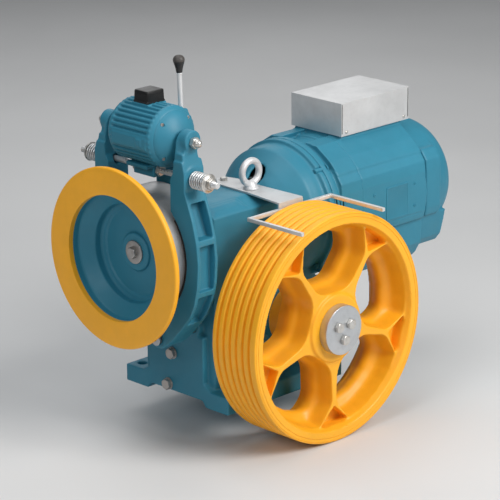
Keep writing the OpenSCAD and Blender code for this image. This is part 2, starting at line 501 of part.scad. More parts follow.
module worm_shaft() color(steel) place() {
  difference() {
    on_drive() rotate_extrude() polygon([
      [0, -332], [20, -332], [22, -330], [22, -232], [worm_shaft_r, -230], [worm_shaft_r, -150], [30, -150], [30, -100], [33, -96],
      [33, 78], [30, 82], [30, 86], [worm_shaft_r, 86], [worm_shaft_r, 130], [24, 132], [24, 298], [27, 298], [27, 300], [27, 470], [24, 470], [22, 478], [22, 612], [0, 612]]);
    on_drive(-333) cylinder(h = 48, r = 8.2);
  }
  translate([0, 0, drive_z]) worm_thread();
}
module brake_drum() color(steel) place() on_drive() rotate_extrude() polygon([
  [138, -358], [drum_r - 1, -358], [drum_r, -357], [drum_r, -237], [drum_r - 1, -236], [136, -236], [136, -304], [48, -304], [44, -298], [44, -240], [42, -238],
  [22.05, -238], [22.05, -320.6], [132, -320.6], [138, -326]]);
// dish: wide mouth, cone, deep cylinder and a flat floor with a raised hub
module flywheel_dish() color(teal) place() on_drive() rotate_extrude() polygon([
  [150, -393.9], [184, -393.9], [184, -388.2], [157, -388.2], [156, -377], [125.5, -351], [125.5, -328], [121, -321], [22.05, -321], [22.05, -335],
  [43, -335], [45.5, -333], [46.5, -328], [50, -327], [104, -327], [108, -330.5], [113, -331.5], [117, -333.5], [119, -337], [119, -350], [120, -353], [147, -375.5], [149.4, -379], [150, -383]]);
module hand_rim() color(gold) place() on_drive() rotate_extrude() polygon(concat(
  [[hand_ri + 0.1, -408 + hand_t], [hand_ri + 0.1, -407], [hand_ri + 1.1, -408]],
  [for (i = [0:5]) [hand_r - 5 + 5 * sin(i * 18), -403 - 5 * cos(i * 18)]],
  [for (i = [0:5]) [hand_r - 4 + 4 * cos(i * 18), -398 + 4 * sin(i * 18)]]));
module hub_washer() color(steel) place() on_drive(-339.2) ring(4, 28, 8.5);
module hub_bolt() color([0.55, 0.52, 0.50]) place() on_drive(-339.3) rotate([180, 0, 0]) bolt(8, 48);
module rotor_core() color([0.50, 0.50, 0.52]) place() on_drive(300.2) difference() {
  union() { cylinder(h = 169.6, r = 91); translate([0, 0, -14]) cylinder(h = 197.6, r = 74); }
  translate([0, 0, -20]) cylinder(h = 215, r = 27);
}
module cooling_fan() color(dark) place() on_drive(512) difference() {
  union() { cylinder(h = 30, r = 34); cylinder(h = 4, r = 112); for (a = [0:45:315]) rotate([0, 0, a]) translate([30, -2, 3]) cube([80, 4, 27]); }
  translate([0, 0, -1]) cylinder(h = 40, r = 22);
}

// ---------------------------------------------------------------- low-speed line
module sheave_shaft() color(steel) place() difference() {
  on_sheave() rotate_extrude() polygon([
    [0, -329.6], [36, -329.6], [38, -327.6], [38, -176], [sheave_shaft_r, -174], [sheave_shaft_r, -50], [42, -50], [42, 34], [48, 34], [48, 44], [sheave_shaft_r, 50],
    [sheave_shaft_r, 108], [38, 110], [0, 110]]);
  translate([-11, -312, sheave_z + 30]) cube([22, 114, 20]);
  for (a = [90, 210, 330]) on_sheave(-330) rotate([0, 0, a]) translate([23.5, 0, 0]) cylinder(h = 31, r = 6.2);
}
module worm_wheel_hub() color([0.36, 0.37, 0.38]) place() difference() {
  on_sheave() rotate_extrude() polygon([
    [42, -33.8], [66, -33.8], [68, -30], [68, -9], [104, -9], [104, -20], [117.8, -20], [117.8, 20], [104, 20], [104, 9], [68, 9], [68, 30], [66, 33.8], [42, 33.8]]);
  for (a = [0:60:300]) on_sheave(-20) rotate([0, 0, a]) translate([86, 0, 0]) cylinder(h = 40, r = 11);
}
module worm_wheel_rim() color([0.70, 0.50, 0.26]) place() {
  on_sheave(-22) ring(44, 139.5, 118);
  for (i = [0:wheel_teeth - 1]) translate([0, 0, sheave_z]) rotate([0, i * 360 / wheel_teeth, 0]) rotate([0, 0, -lead_angle]) translate([0, 22, 0]) rotate([90, 0, 0])
    linear_extrude(44) polygon([[-7.6, 138], [-4.6, 150], [-2.4, 157], [2.4, 157], [4.6, 150], [7.6, 138]]);
}
groove_w = 6.2;
function groove(i) = let (y = sheave_y0 + 22.4 + groove_pitch * i, r = sheave_r) [
  [r - 1, y - groove_w - 2.2], [r - 2.6, y - groove_w - 0.3], [r - groove_d + 4, y - groove_w + 1.2], [r - groove_d + 1, y - 3], [r - groove_d, y],
  [r - groove_d + 1, y + 3], [r - groove_d + 4, y + groove_w - 1.2], [r - 2.6, y + groove_w + 0.3], [r - 1, y + groove_w + 2.2]];
module rim_outline() polygon(concat(
  [[253, sheave_y0 + 0], [sheave_r - 3, sheave_y0], [sheave_r, sheave_y0 + 3]], [for (i = [0:5]) each groove(i)],
  [[sheave_r, sheave_y1 - 3], [sheave_r - 3, sheave_y1], [253, sheave_y1], [246, sheave_y1 - 14], [246, spoke_y0]]));
// one rounded window between two spokes, its middle on +X
function window_pts() = rounded(concat([pol(94, -30), pol(190, -34), pol(244, -24)], [for (a = [-18:6:18]) pol(245.5, a)], [pol(244, 24), pol(190, 34), pol(94, 30)]), 1, 1);
function window_round() = let (w = 20) concat(
  arc_at(pol(94, 30), pol(94, -30), pol(190, -34), 16, 4), arc_at(pol(94, -30), pol(190, -34), pol(245, -24), 30, 4),
  arc_at(pol(190, -34), pol(245, -24), pol(245, -12), 14, 4), [for (a = [-12:6:12]) pol(245, a)],
  arc_at(pol(245, 12), pol(245, 24), pol(190, 34), 14, 4), arc_at(pol(245, 24), pol(190, 34), pol(94, 30), 30, 4), arc_at(pol(190, 34), pol(94, 30), pol(94, -30), 16, 4));
function pocket_pts() = rounded([pol(208, 0), pol(241, -9.5), pol(244, 0), pol(241, 9.5)], 3, 3);
module traction_sheave() color(gold) place() difference() {
  union() {
    on_sheave() rotate_extrude() rim_outline();
    on_sheave(spoke_y0) cylinder(h = spoke_w, r = 247);
    on_sheave(sheave_y0 + 20) cylinder(h = 141, r = 75);
    on_sheave(sheave_y0 + 7.2) cylinder(h = 14, r = 83);
  }
  for (k = [0:4]) {
    translate([0, spoke_y0 - 5, sheave_z]) rotate([0, -90 + 72 * k, 0]) rotate([-90, 0, 0]) linear_extrude(spoke_w + 10) polygon(window_round());
    for (y = [spoke_y0 - 5, spoke_y0 + spoke_w - 36]) translate([0, y, sheave_z]) rotate([0, -54 + 72 * k, 0]) rotate([-90, 0, 0]) linear_extrude(41) polygon(pocket_pts());
  }
  on_sheave(sheave_y0 - 1) cylinder(h = 200, r = 38.05);
  translate([-11.1, sheave_y0 + 7, sheave_z + 20]) cube([22.2, 170, 26.2]);
}
module sheave_key() color(steel) place() translate([-10.9, -311, sheave_z + 30.2]) cube([21.8, 112, 15.6]);
module sheave_end_plate() color(steel) place() difference() {
  on_sheave() rotate_extrude() polygon([[0, -352], [58.5, -352], [60, -350.5], [60, -330], [0, -330]]);
  for (a = [90, 210, 330]) on_sheave(-353) rotate([0, 0, a]) translate([23.5, 0, 0]) cylinder(h = 24, r = 6.5);
}
module sheave_bolts() color(steel) place() for (a = [90, 210, 330]) on_sheave(-352.2) rotate([0, 0, a]) translate([23.5, 0, 0]) rotate([180, 0, 0]) { hex(19, 10); translate([0, 0, -50]) cylinder(h = 50.5, r = 6); }

gear_housing();
sheave_side_cover();
rear_side_cover();
worm_end_cover();
case_bolts();
worm_bearings();
wheel_bearings();
shaft_seals();
oil_plugs();
oil_filler_cap();
guard_bracket();
eye_bolt();
rope_guard();
bell_housing();
motor_frame();
stator_core();
stator_winding();
motor_end_cover();
motor_bearing();
motor_bolts();
terminal_box();
terminal_box_cover();
box_screws();
terminal_strip();
solenoid_bracket();
solenoid_housing();
solenoid_cap_left();
solenoid_cap_right();
solenoid_coil();
solenoid_terminal_block();
brake_pivot_pins();
spring_rod();
rod_nuts();
spring_washers();
brake_spring_left();
brake_spring_right();
worm_shaft();
brake_drum();
flywheel_dish();
hand_rim();
hub_washer();
hub_bolt();
rotor_core();
cooling_fan();
sheave_shaft();
worm_wheel_hub();
worm_wheel_rim();
traction_sheave();
sheave_key();
sheave_end_plate();
sheave_bolts();
brake_arm_right();
lining_right();
adjuster_right();
brake_arm_left();
lining_left();
adjuster_left();
plunger_right();
plunger_left();
release_lever();
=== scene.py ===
import json
import math

import bmesh
import bpy
import numpy as np
from mathutils import Matrix, Vector


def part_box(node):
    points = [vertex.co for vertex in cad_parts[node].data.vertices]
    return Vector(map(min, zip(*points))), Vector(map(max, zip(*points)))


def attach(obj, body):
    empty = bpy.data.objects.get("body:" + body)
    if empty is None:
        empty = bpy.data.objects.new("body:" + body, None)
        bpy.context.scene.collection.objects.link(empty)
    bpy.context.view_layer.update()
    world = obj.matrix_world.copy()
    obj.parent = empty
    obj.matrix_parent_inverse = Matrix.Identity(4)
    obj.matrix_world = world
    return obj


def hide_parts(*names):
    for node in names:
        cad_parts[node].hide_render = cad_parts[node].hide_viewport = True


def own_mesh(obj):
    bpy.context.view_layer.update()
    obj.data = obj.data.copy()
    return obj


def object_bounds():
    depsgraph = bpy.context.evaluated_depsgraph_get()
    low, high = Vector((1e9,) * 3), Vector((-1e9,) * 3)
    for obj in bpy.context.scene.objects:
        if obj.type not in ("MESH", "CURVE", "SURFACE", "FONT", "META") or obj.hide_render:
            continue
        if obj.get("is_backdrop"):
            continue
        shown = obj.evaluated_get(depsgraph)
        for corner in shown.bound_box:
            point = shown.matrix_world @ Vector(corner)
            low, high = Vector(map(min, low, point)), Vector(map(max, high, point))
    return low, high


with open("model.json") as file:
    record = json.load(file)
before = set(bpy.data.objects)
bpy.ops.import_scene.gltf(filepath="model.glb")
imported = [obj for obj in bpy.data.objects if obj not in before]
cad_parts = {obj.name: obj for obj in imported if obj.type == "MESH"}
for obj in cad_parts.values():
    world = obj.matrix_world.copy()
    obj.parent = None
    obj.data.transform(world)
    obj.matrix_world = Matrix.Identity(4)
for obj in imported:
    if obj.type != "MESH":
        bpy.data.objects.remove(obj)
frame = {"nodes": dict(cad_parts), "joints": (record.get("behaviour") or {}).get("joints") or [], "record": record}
cad_lo, cad_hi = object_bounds()
cad_box = [[float(x) for x in cad_lo], [float(x) for x in cad_hi]]
scene = bpy.context.scene
REC = frame["record"]
NODES = frame["nodes"]
JOINT = {j["name"]: j for j in frame["joints"]}
BODY_OF = {n: b for b, ns in REC["behaviour"]["bodies"].items() for n in ns}
MM = 0.001

# axes of the machine, in millimetres in the row frame
ZD = JOINT["high_speed_spin"]["pos_m"][2] * 1000
SX = JOINT["sheave_spin"]["pos_m"][0] * 1000
SZ = JOINT["sheave_spin"]["pos_m"][2] * 1000
pi = math.pi


def B(node):
    lo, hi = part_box(node)
    return np.array(lo) * 1000, np.array(hi) * 1000


# ------------------------------------------------------------------ mesh tools
def link(name, me):
    ob = bpy.data.objects.new(name, me)
    scene.collection.objects.link(ob)
    return ob


def tidy(ob, merge=1e-6):
    bm = bmesh.new()
    bm.from_mesh(ob.data)
    if merge:
        bmesh.ops.remove_doubles(bm, verts=bm.verts, dist=merge)
    bmesh.ops.recalc_face_normals(bm, faces=bm.faces)
    bm.to_mesh(ob.data)
    bm.free()
    return ob


def make(name, verts, faces):
    me = bpy.data.meshes.new(name)
    me.from_pydata((np.asarray(verts, float) * MM).tolist(), [], [list(map(int, f)) for f in faces])
    return tidy(link(name, me))


def shade(ob, angle=38.0):
    me = ob.data
    me.polygons.foreach_set("use_smooth", np.ones(len(me.polygons), bool))
    me.set_sharp_from_angle(angle=math.radians(angle))
    me.update()
    return ob


def solidify_mods(ob):
    """Puts the result of the object's modifiers into its mesh."""
    dg = bpy.context.evaluated_depsgraph_get()
    me = bpy.data.meshes.new_from_object(ob.evaluated_get(dg), depsgraph=dg)
    old = ob.data
    ob.modifiers.clear()
    ob.data = me
    if old.users == 0:
        bpy.data.meshes.remove(old)
    return ob


def drop(ob):
    me = ob.data
    bpy.data.objects.remove(ob)
    if me.users == 0:
        bpy.data.meshes.remove(me)


def boolean(ob, other, op="DIFFERENCE", solver="MANIFOLD", keep=False):
    before = len(ob.data.polygons)
    spare = ob.data.copy()
    for s in (solver, "EXACT"):
        m = ob.modifiers.new("b", "BOOLEAN")
        m.operation, m.object, m.solver = op, other, s
        solidify_mods(ob)
        n = len(ob.data.polygons)
        if n >= 4 and not (op == "UNION" and n < 0.5 * before):
            break
        ob.data = spare.copy()
    bpy.data.meshes.remove(spare)
    if not keep:
        drop(other)
    return ob


def join(name, obs):
    bm = bmesh.new()
    for o in obs:
        bm.from_mesh(o.data)
    me = bpy.data.meshes.new(name)
    bm.to_mesh(me)
    bm.free()
    for o in obs:
        drop(o)
    return link(name, me)


def copy_node(node, name):
    me = NODES[node].data.copy()
    me.materials.clear()
    ob = link(name, me)
    if "custom_normal" in me.attributes:
        me.attributes.remove(me.attributes["custom_normal"])
    bm = bmesh.new()
    bm.from_mesh(me)
    bmesh.ops.remove_doubles(bm, verts=bm.verts, dist=2e-6)
    for e in bm.edges:
        e.smooth = True
    for f in bm.faces:
        f.smooth = True
    bmesh.ops.recalc_face_normals(bm, faces=bm.faces)
    bm.to_mesh(me)
    bm.free()
    return ob


def remesh(ob, voxel):
    m = ob.modifiers.new("v", "REMESH")
    m.mode, m.voxel_size, m.adaptivity, m.use_smooth_shade = "VOXEL", voxel * MM, 0.0, True
    return solidify_mods(ob)


def relax(ob, n, lam=0.5, weight=None):
    """Rounds the edges and inner corners of a dense mesh, n small steps."""
    me = ob.data
    nv, ne = len(me.vertices), len(me.edges)
    co = np.zeros(nv * 3)
    me.vertices.foreach_get("co", co)
    co = co.reshape(-1, 3)
    ed = np.zeros(ne * 2, np.int64)
    me.edges.foreach_get("vertices", ed)
    a, b = ed[0::2], ed[1::2]
    deg = np.bincount(a, minlength=nv) + np.bincount(b, minlength=nv)
    deg = np.maximum(deg, 1)[:, None]
    w = np.full((nv, 1), lam) if weight is None else lam * weight(co / MM)[:, None]
    for _ in range(n):
        s = np.stack([np.bincount(a, co[b, k], nv) + np.bincount(b, co[a, k], nv) for k in range(3)], 1)
        co = co + w * (s / deg - co)
    me.vertices.foreach_set("co", co.astype(np.float32).ravel())
    me.update()
    return ob


def bevel(ob, width=0.8, seg=2, angle=32.0):
    m = ob.modifiers.new("w", "BEVEL")
    m.width, m.segments, m.limit_method, m.angle_limit = width * MM, seg, "ANGLE", math.radians(angle)
    m.use_clamp_overlap = True
    m.miter_outer = "MITER_ARC"
    return solidify_mods(ob)


def flatten(ob, deg=0.7):
    """Merges coplanar triangles back into whole faces."""
    bm = bmesh.new()
    bm.from_mesh(ob.data)
    bmesh.ops.dissolve_limit(bm, angle_limit=math.radians(deg), verts=bm.verts, edges=bm.edges)
    bm.to_mesh(ob.data)
    bm.free()
    return ob


def fil(pts, r=1.0, n=4):
    """Closed outline with its corners rounded. r is one radius, or one for each point."""
    P = [np.array(p, float) for p in pts]
    N = len(P)
    rs = [r] * N if np.isscalar(r) else list(r)
    out = []
    for i in range(N):
        a, b, c = P[i - 1], P[i], P[(i + 1) % N]
        u, w = a - b, c - b
        lu, lw = np.linalg.norm(u), np.linalg.norm(w)
        if rs[i] <= 0 or lu < 1e-9 or lw < 1e-9:
            out.append((b[0], b[1]))
            continue
        u, w = u / lu, w / lw
        ang = math.acos(max(-1.0, min(1.0, float(u @ w))))
        if ang > pi - 0.03 or ang < 0.03:
            out.append((b[0], b[1]))
            continue
        t = min(rs[i] / math.tan(ang / 2), 0.48 * lu, 0.48 * lw)
        rr = t * math.tan(ang / 2)
        m = (u + w) / np.linalg.norm(u + w)
        o = b + m * (rr / math.sin(ang / 2))
        p, q = b + u * t - o, b + w * t - o
        a0, a1 = math.atan2(p[1], p[0]), math.atan2(q[1], q[0])
        d = (a1 - a0 + pi) % (2 * pi) - pi
        out += [(o[0] + rr * math.cos(a0 + d * k / n), o[1] + rr * math.sin(a0 + d * k / n)) for k in range(n + 1)]
    return out


def lathe_vf(prof, n=128):
    """Closed profile of (radius, height) turned about Z."""
    ang = np.arange(n) * 2 * pi / n
    V, idx, F = [], [], []
    for r, t in prof:
        if r < 1e-6:
            idx.append((len(V), 1))
            V.append((0, 0, t))
        else:
            idx.append((len(V), n))
            V += [(r * math.cos(x), r * math.sin(x), t) for x in ang]
    m = len(prof)
    for i in range(m):
        (s0, n0), (s1, n1) = idx[i], idx[(i + 1) % m]
        if n0 == 1 and n1 == 1:
            continue
        for k in range(n):
            q = (k + 1) % n
            if n0 == 1:
                F.append((s0, s1 + k, s1 + q))
            elif n1 == 1:
                F.append((s0 + k, s1, s0 + q))
            else:
                F.append((s0 + k, s1 + k, s1 + q, s0 + q))
    return np.array(V, float), F


def axis_matrix(direction):
    return np.array(Vector((0, 0, 1)).rotation_difference(Vector(direction)).to_matrix())


def put(V, pos, direction=(0, 0, 1), spin=0.0):
    c, s = math.cos(math.radians(spin)), math.sin(math.radians(spin))
    V = np.asarray(V, float) @ np.array([[c, s, 0], [-s, c, 0], [0, 0, 1]])
    return V @ axis_matrix(direction).T + np.array(pos, float)


def lathe(name, prof, pos=(0, 0, 0), direction=(0, 0, 1), n=128):
    V, F = lathe_vf(prof, n)
    return make(name, put(V, pos, direction), F)


def on_drive(name, prof, n=160):
    """Profile of (radius, x in the row frame) turned about the drive axis."""
    V, F = lathe_vf(prof, n)
    return make(name, np.stack([V[:, 2], V[:, 0], V[:, 1] + ZD], 1), F)


def on_sheave(name, prof, n=192):
    """Profile of (radius, y in the row frame) turned about the sheave axis."""
    V, F = lathe_vf(prof, n)
    return make(name, np.stack([V[:, 0] + SX, V[:, 2], V[:, 1] + SZ], 1), F)


def prism(name, outline, axis, t0, t1):
    n = len(outline)
    a, b = np.array([p[0] for p in outline]), np.array([p[1] for p in outline])
    V = []
    for t in (t0, t1):
        k = np.full(n, float(t))
        V.append(np.stack({"x": (k, a, b), "y": (a, k, b), "z": (a, b, k)}[axis], 1))
    F = [list(range(n))[::-1], [n + i for i in range(n)]]
    F += [(i, (i + 1) % n, n + (i + 1) % n, n + i) for i in range(n)]
    return make(name, np.concatenate(V), F)


def slab(name, lo, hi):
    return prism(name, [(lo[0], lo[1]), (hi[0], lo[1]), (hi[0], hi[1]), (lo[0], hi[1])], "z", lo[2], hi[2])


def rod(name, p0, p1, r, n=48, edge=0.0):
    p0, p1 = np.array(p0, float), np.array(p1, float)
    L = float(np.linalg.norm(p1 - p0))
    e = edge
    prof = [(0, 0), (r - e, 0), (r, e), (r, L - e), (r - e, L), (0, L)] if e else [(0, 0), (r, 0), (r, L), (0, L)]
    return lathe(name, prof, p0, (p1 - p0) / L, n)


def hex_vf(af, h, k=6, washer=0.7, dome=False):
    """Hexagon head with a chamfered top and a washer face under it, standing on z = 0."""
    N = 6 * k
    ang = np.arange(N) * 2 * pi / N
    apo = af / 2
    R = apo / np.cos((ang % (pi / 3)) - pi / 6)
    rc = apo * 0.95
    zt = h - np.maximum(0, R - rc) * 0.55
    ca, sa = np.cos(ang), np.sin(ang)
    ring = lambda r, z: np.stack([r * ca, r * sa, np.broadcast_to(z, N)], 1)
    rows = [ring(rc * np.ones(N), 0.0), ring(rc * np.ones(N), washer), ring(R - 0.35, washer), ring(R, washer + 0.35),
            ring(R, zt - 0.3), ring(R - 0.3, zt), ring(rc * np.ones(N), h), ring(rc * 0.9 * np.ones(N), h)]
    V = np.concatenate(rows + [np.array([[0, 0, 0], [0, 0, h]])])
    F = []
    m = len(rows)
    for i in range(m - 1):
        for j in range(N):
            q = (j + 1) % N
            F.append((i * N + j, i * N + q, (i + 1) * N + q, (i + 1) * N + j))
    for j in range(N):
        q = (j + 1) % N
        F.append((m * N, q, j))
        F.append((m * N + 1, (m - 1) * N + j, (m - 1) * N + q))
    return V, F


class Part:
    """Gathers closed shells of one kind of hardware into one piece."""

    def __init__(self):
        self.V, self.F, self.n = [], [], 0

    def add(self, VF, pos=(0, 0, 0), direction=(0, 0, 1), spin=0.0):
        V, F = VF
        self.V.append(put(V, pos, direction, spin))
        self.F += [[i + self.n for i in f] for f in F]
        self.n += len(V)
        return self

    def lathe(self, prof, pos, direction=(0, 0, 1), n=40):
        return self.add(lathe_vf(prof, n), pos, direction)

    def bolt(self, r, length, pos, direction, spin=0.0, washer=True):
        """Hexagon bolt, its head up from pos along direction and its shank below it."""
        af, h = r * 3.1, r * 1.3
        base = 0.0
        if washer:
            w = 1.4
            self.lathe(fil([(r + 0.3, 0.05), (af * 0.66, 0.05), (af * 0.66, w), (r + 0.3, w)], 0.35, 2), pos, direction, 40)
            base = w
        d = np.array(direction, float)
        self.add(hex_vf(af, h - base + 0.2), np.array(pos) + d * base, direction, spin)
        self.lathe([(0, 0.1), (r, 0.1), (r, -length + 1.2), (r - 1.2, -length), (0, -length)], pos, direction, 24)
        return self

    def done(self, name):
        return make(name, np.concatenate(self.V), self.F)


def thread_vf(r, L, pitch, depth=None, n=24, per=4):
    """Threaded rod standing on z = 0."""
    depth = 0.55 * pitch if depth is None else depth
    m = int(L / pitch * per)
    z = np.linspace(1.2, L - 1.2, m + 1)
    ang = np.arange(n) * 2 * pi / n
    ph = (z[:, None] / pitch + ang[None] / (2 * pi)) % 1.0
    tri = np.abs(ph * 2 - 1)
    R = r - depth * np.clip(1.25 * tri - 0.12, 0, 1)
    V = np.stack([R * np.cos(ang), R * np.sin(ang), np.repeat(z[:, None], n, 1)], 2).reshape(-1, 3)
    caps = []
    for zz, rr in ((0.0, r - 1.4), (L, r - 1.4)):
        caps.append(np.stack([rr * np.cos(ang), rr * np.sin(ang), np.full(n, zz)], 1))
    V = np.concatenate([caps[0], V, caps[1], [[0, 0, 0], [0, 0, L]]])
    F = []
    rows = m + 3
    for i in range(rows - 1):
        for j in range(n):
            q = (j + 1) % n
            F.append((i * n + j, i * n + q, (i + 1) * n + q, (i + 1) * n + j))
    c0, c1 = rows * n, rows * n + 1
    for j in range(n):
        q = (j + 1) % n
        F.append((c0, q, j))
        F.append((c1, (rows - 1) * n + j, (rows - 1) * n + q))
    return V, F


def tube_vf(path, rad, n=12, closed=False):
    """Round tube along a path. rad is one radius or one for each point."""
    P = np.asarray(path, float)
    m = len(P)
    rad = np.full(m, rad) if np.isscalar(rad) else np.asarray(rad, float)
    T = np.roll(P, -1, 0) - np.roll(P, 1, 0)
    if not closed:
        T[0], T[-1] = P[1] - P[0], P[-1] - P[-2]
    T /= np.linalg.norm(T, axis=1)[:, None]
    N = np.zeros_like(P)
    ref = np.array([0, 0, 1.0]) if abs(T[0][2]) < 0.9 else np.array([1.0, 0, 0])
    v = np.cross(T[0], ref)
    for i in range(m):
        v = v - T[i] * (v @ T[i])
        v /= np.linalg.norm(v)
        N[i] = v
    Bn = np.cross(T, N)
    ang = np.arange(n) * 2 * pi / n
    V = (P[:, None] + rad[:, None, None] * (N[:, None] * np.cos(ang)[None, :, None] + Bn[:, None] * np.sin(ang)[None, :, None])).reshape(-1, 3)
    F = []
    for i in range(m if closed else m - 1):
        k = (i + 1) % m
        for j in range(n):
            q = (j + 1) % n
            F.append((i * n + j, i * n + q, k * n + q, k * n + j))
    if not closed:
        V = np.concatenate([V, P[:1], P[-1:]])
        for j in range(n):
            q = (j + 1) % n
            F.append((m * n, q, j))
            F.append((m * n + 1, (m - 1) * n + j, (m - 1) * n + q))
    return V, F


# ------------------------------------------------------------------ materials
def lin(r, g, b):
    f = lambda c: (c / 255 / 12.92) if c / 255 <= 0.04045 else ((c / 255 + 0.055) / 1.055) ** 2.4
    return (f(r), f(g), f(b), 1.0)


def scaled(c, k):
    return (c[0] * k, c[1] * k, c[2] * k, 1.0)


class Mat:
    def __init__(self, name):
        self.m = bpy.data.materials.new(name)
        self.m.use_nodes = True
        self.nt = self.m.node_tree
        self.nt.nodes.clear()
        self.out = self.nt.nodes.new("ShaderNodeOutputMaterial")
        self.p = self.nt.nodes.new("ShaderNodeBsdfPrincipled")
        self.nt.links.new(self.p.outputs[0], self.out.inputs[0])
        self.tc = self.nt.nodes.new("ShaderNodeTexCoord")
        self.obj = self.tc.outputs["Object"]

    def n(self, kind, **kw):
        node = self.nt.nodes.new(kind)
        for k, v in kw.items():
            setattr(node, k, v)
        return node

    def link(self, a, b):
        self.nt.links.new(a, b)

    def set(self, **kw):
        for k, v in kw.items():
            self.p.inputs[k.replace("_", " ")].default_value = v
        return self

    def noise(self, scale, detail=3.0, rough=0.5, vec=None, dist=0.0):
        t = self.n("ShaderNodeTexNoise")
        t.inputs["Scale"].default_value = scale
        t.inputs["Detail"].default_value = detail
        t.inputs["Roughness"].default_value = rough
        t.inputs["Distortion"].default_value = dist
        self.link(vec or self.obj, t.inputs["Vector"])
        return t.outputs["Fac"]

    def span(self, fac, a, b, lo=0.3, hi=0.7):
        r = self.n("ShaderNodeMapRange")
        r.inputs["From Min"].default_value, r.inputs["From Max"].default_value = lo, hi
        r.inputs["To Min"].default_value, r.inputs["To Max"].default_value = a, b
        self.link(fac, r.inputs["Value"])
        return r.outputs["Result"]

    def mix(self, fac, a, b):
        x = self.n("ShaderNodeMix", data_type="RGBA")
        if isinstance(fac, float):
            x.inputs[0].default_value = fac
        else:
            self.link(fac, x.inputs[0])
        for s, v in ((6, a), (7, b)):
            if isinstance(v, tuple):
                x.inputs[s].default_value = v
            else:
                self.link(v, x.inputs[s])
        return x.outputs[2]

    def mul(self, a, b):
        x = self.n("ShaderNodeMath", operation="MULTIPLY")
        for i, v in ((0, a), (1, b)):
            if isinstance(v, (int, float)):
                x.inputs[i].default_value = v
            else:
                self.link(v, x.inputs[i])
        return x.outputs[0]

    def colour(self, s):
        self.link(s, self.p.inputs["Base Color"])
        return self

    def rough(self, s):
        self.link(s, self.p.inputs["Roughness"])
        return self

    def bump(self, *layers):
        """layers of (height output, strength, distance in metres)"""
        prev = None
        for h, st, d in layers:
            b = self.n("ShaderNodeBump")
            b.inputs["Strength"].default_value = st
            b.inputs["Distance"].default_value = d
            self.link(h, b.inputs["Height"])
            if prev is not None:
                self.link(prev, b.inputs["Normal"])
            prev = b.outputs["Normal"]
        self.link(prev, self.p.inputs["Normal"])
        return self

    def edge(self, lo=0.52, hi=0.60):
        g = self.n("ShaderNodeNewGeometry")
        return self.span(g.outputs["Pointiness"], 0.0, 1.0, lo, hi)

    def rings(self, centre, axis, scale, detail=2.0):
        """Noise that runs in circles round an axis, as turning leaves it."""
        sub = self.n("ShaderNodeVectorMath", operation="SUBTRACT")
        sub.inputs[1].default_value = tuple(c * MM for c in centre)
        self.link(self.obj, sub.inputs[0])
        flat = self.n("ShaderNodeVectorMath", operation="MULTIPLY")
        flat.inputs[1].default_value = tuple(0.0 if k == axis else 1.0 for k in "xyz")
        self.link(sub.outputs[0], flat.inputs[0])
        ln = self.n("ShaderNodeVectorMath", operation="LENGTH")
        self.link(flat.outputs[0], ln.inputs[0])
        sep = self.n("ShaderNodeSeparateXYZ")
        self.link(sub.outputs[0], sep.inputs[0])
        com = self.n("ShaderNodeCombineXYZ")
        self.link(ln.outputs["Value"], com.inputs[0])
        self.link(sep.outputs["XYZ".index(axis.upper())], com.inputs[1])
        return self.noise(scale, detail, 0.6, vec=com.outputs[0])


def paint(name, c, wear_and_highlight=0.35, rough=(0.36, 0.46), grain=0.10, coat=0.12, sandy=0.0):
    """Sprayed enamel on a casting: a fine orange peel, soft changes of tone, convex edges lightened as a little wear
    together with a painted highlight, and a painted shade darkening the creases.
    """
    m = Mat(name)
    wide = m.noise(7.0, 3.0, 0.55)
    blot = m.noise(46.0, 4.0, 0.6)
    base = m.mix(m.span(wide, 0.0, 1.0), scaled(c, 0.93), scaled(c, 1.06))
    base = m.mix(m.span(blot, 0.0, 0.30), base, scaled(c, 0.86))
    # convex edges lightened by pointiness: a little wear, and a painted highlight
    edge = m.mul(m.edge(), m.span(m.noise(120.0, 3.0, 0.7), 0.35, 1.0))
    edge_wear_and_highlight = tuple(min(1.0, x * 1.35 + 0.02) for x in c[:3]) + (1.0,)
    base = m.mix(m.mul(edge, wear_and_highlight), base, edge_wear_and_highlight)
    # painted shade: concave creases darkened towards 0.55 of the colour
    dark = m.n("ShaderNodeNewGeometry")
    crease_shade = m.span(dark.outputs["Pointiness"], 0.45, 0.0, 0.40, 0.49)
    base = m.mix(crease_shade, base, scaled(c, 0.55))
    m.colour(base)
    m.rough(m.span(m.noise(30.0, 3.0, 0.6), rough[0], rough[1]))
    layers = [(m.noise(520.0, 2.0, 0.5), grain, 0.00025), (m.noise(34.0, 2.0, 0.5), 0.10, 0.0008)]
    if sandy:
        layers.append((m.noise(240.0, 3.0, 0.7), sandy, 0.0006))
    m.bump(*layers)
    m.set(Coat_Weight=coat, Coat_Roughness=0.22, IOR=1.45, Specular_IOR_Level=0.5)
    return m.m


def steel(name, c, rough=(0.24, 0.36), metallic=1.0, rings=None, grain=0.06, stain=0.25, brush=None, dark=None):
    m = Mat(name)
    wide = m.noise(14.0, 3.0, 0.6)
    base = m.mix(m.span(wide, 0.0, 1.0), scaled(c, 0.9), scaled(c, 1.06))
    base = m.mix(m.span(m.noise(85.0, 5.0, 0.65), 0.0, stain, 0.50, 0.75), base, dark or scaled(c, 0.55))
    m.colour(base)
    layers = [(m.noise(700.0, 2.0, 0.5), grain, 0.0002)]
    r = m.noise(60.0, 3.0, 0.6)
    if rings:
        t = m.rings(*rings)
        layers.append((t, 0.16, 0.0002))
        m.rough(m.span(t, rough[0], rough[1]))
    elif brush:
        mp = m.n("ShaderNodeMapping")
        mp.inputs["Scale"].default_value = brush
        m.link(m.obj, mp.inputs["Vector"])
        t = m.noise(1.0, 3.0, 0.6, vec=mp.outputs[0])
        layers.append((t, 0.10, 0.0002))
        m.rough(m.span(t, rough[0], rough[1]))
    else:
        m.rough(m.span(r, rough[0], rough[1]))
    m.bump(*layers)
    m.set(Metallic=metallic)
    return m.m


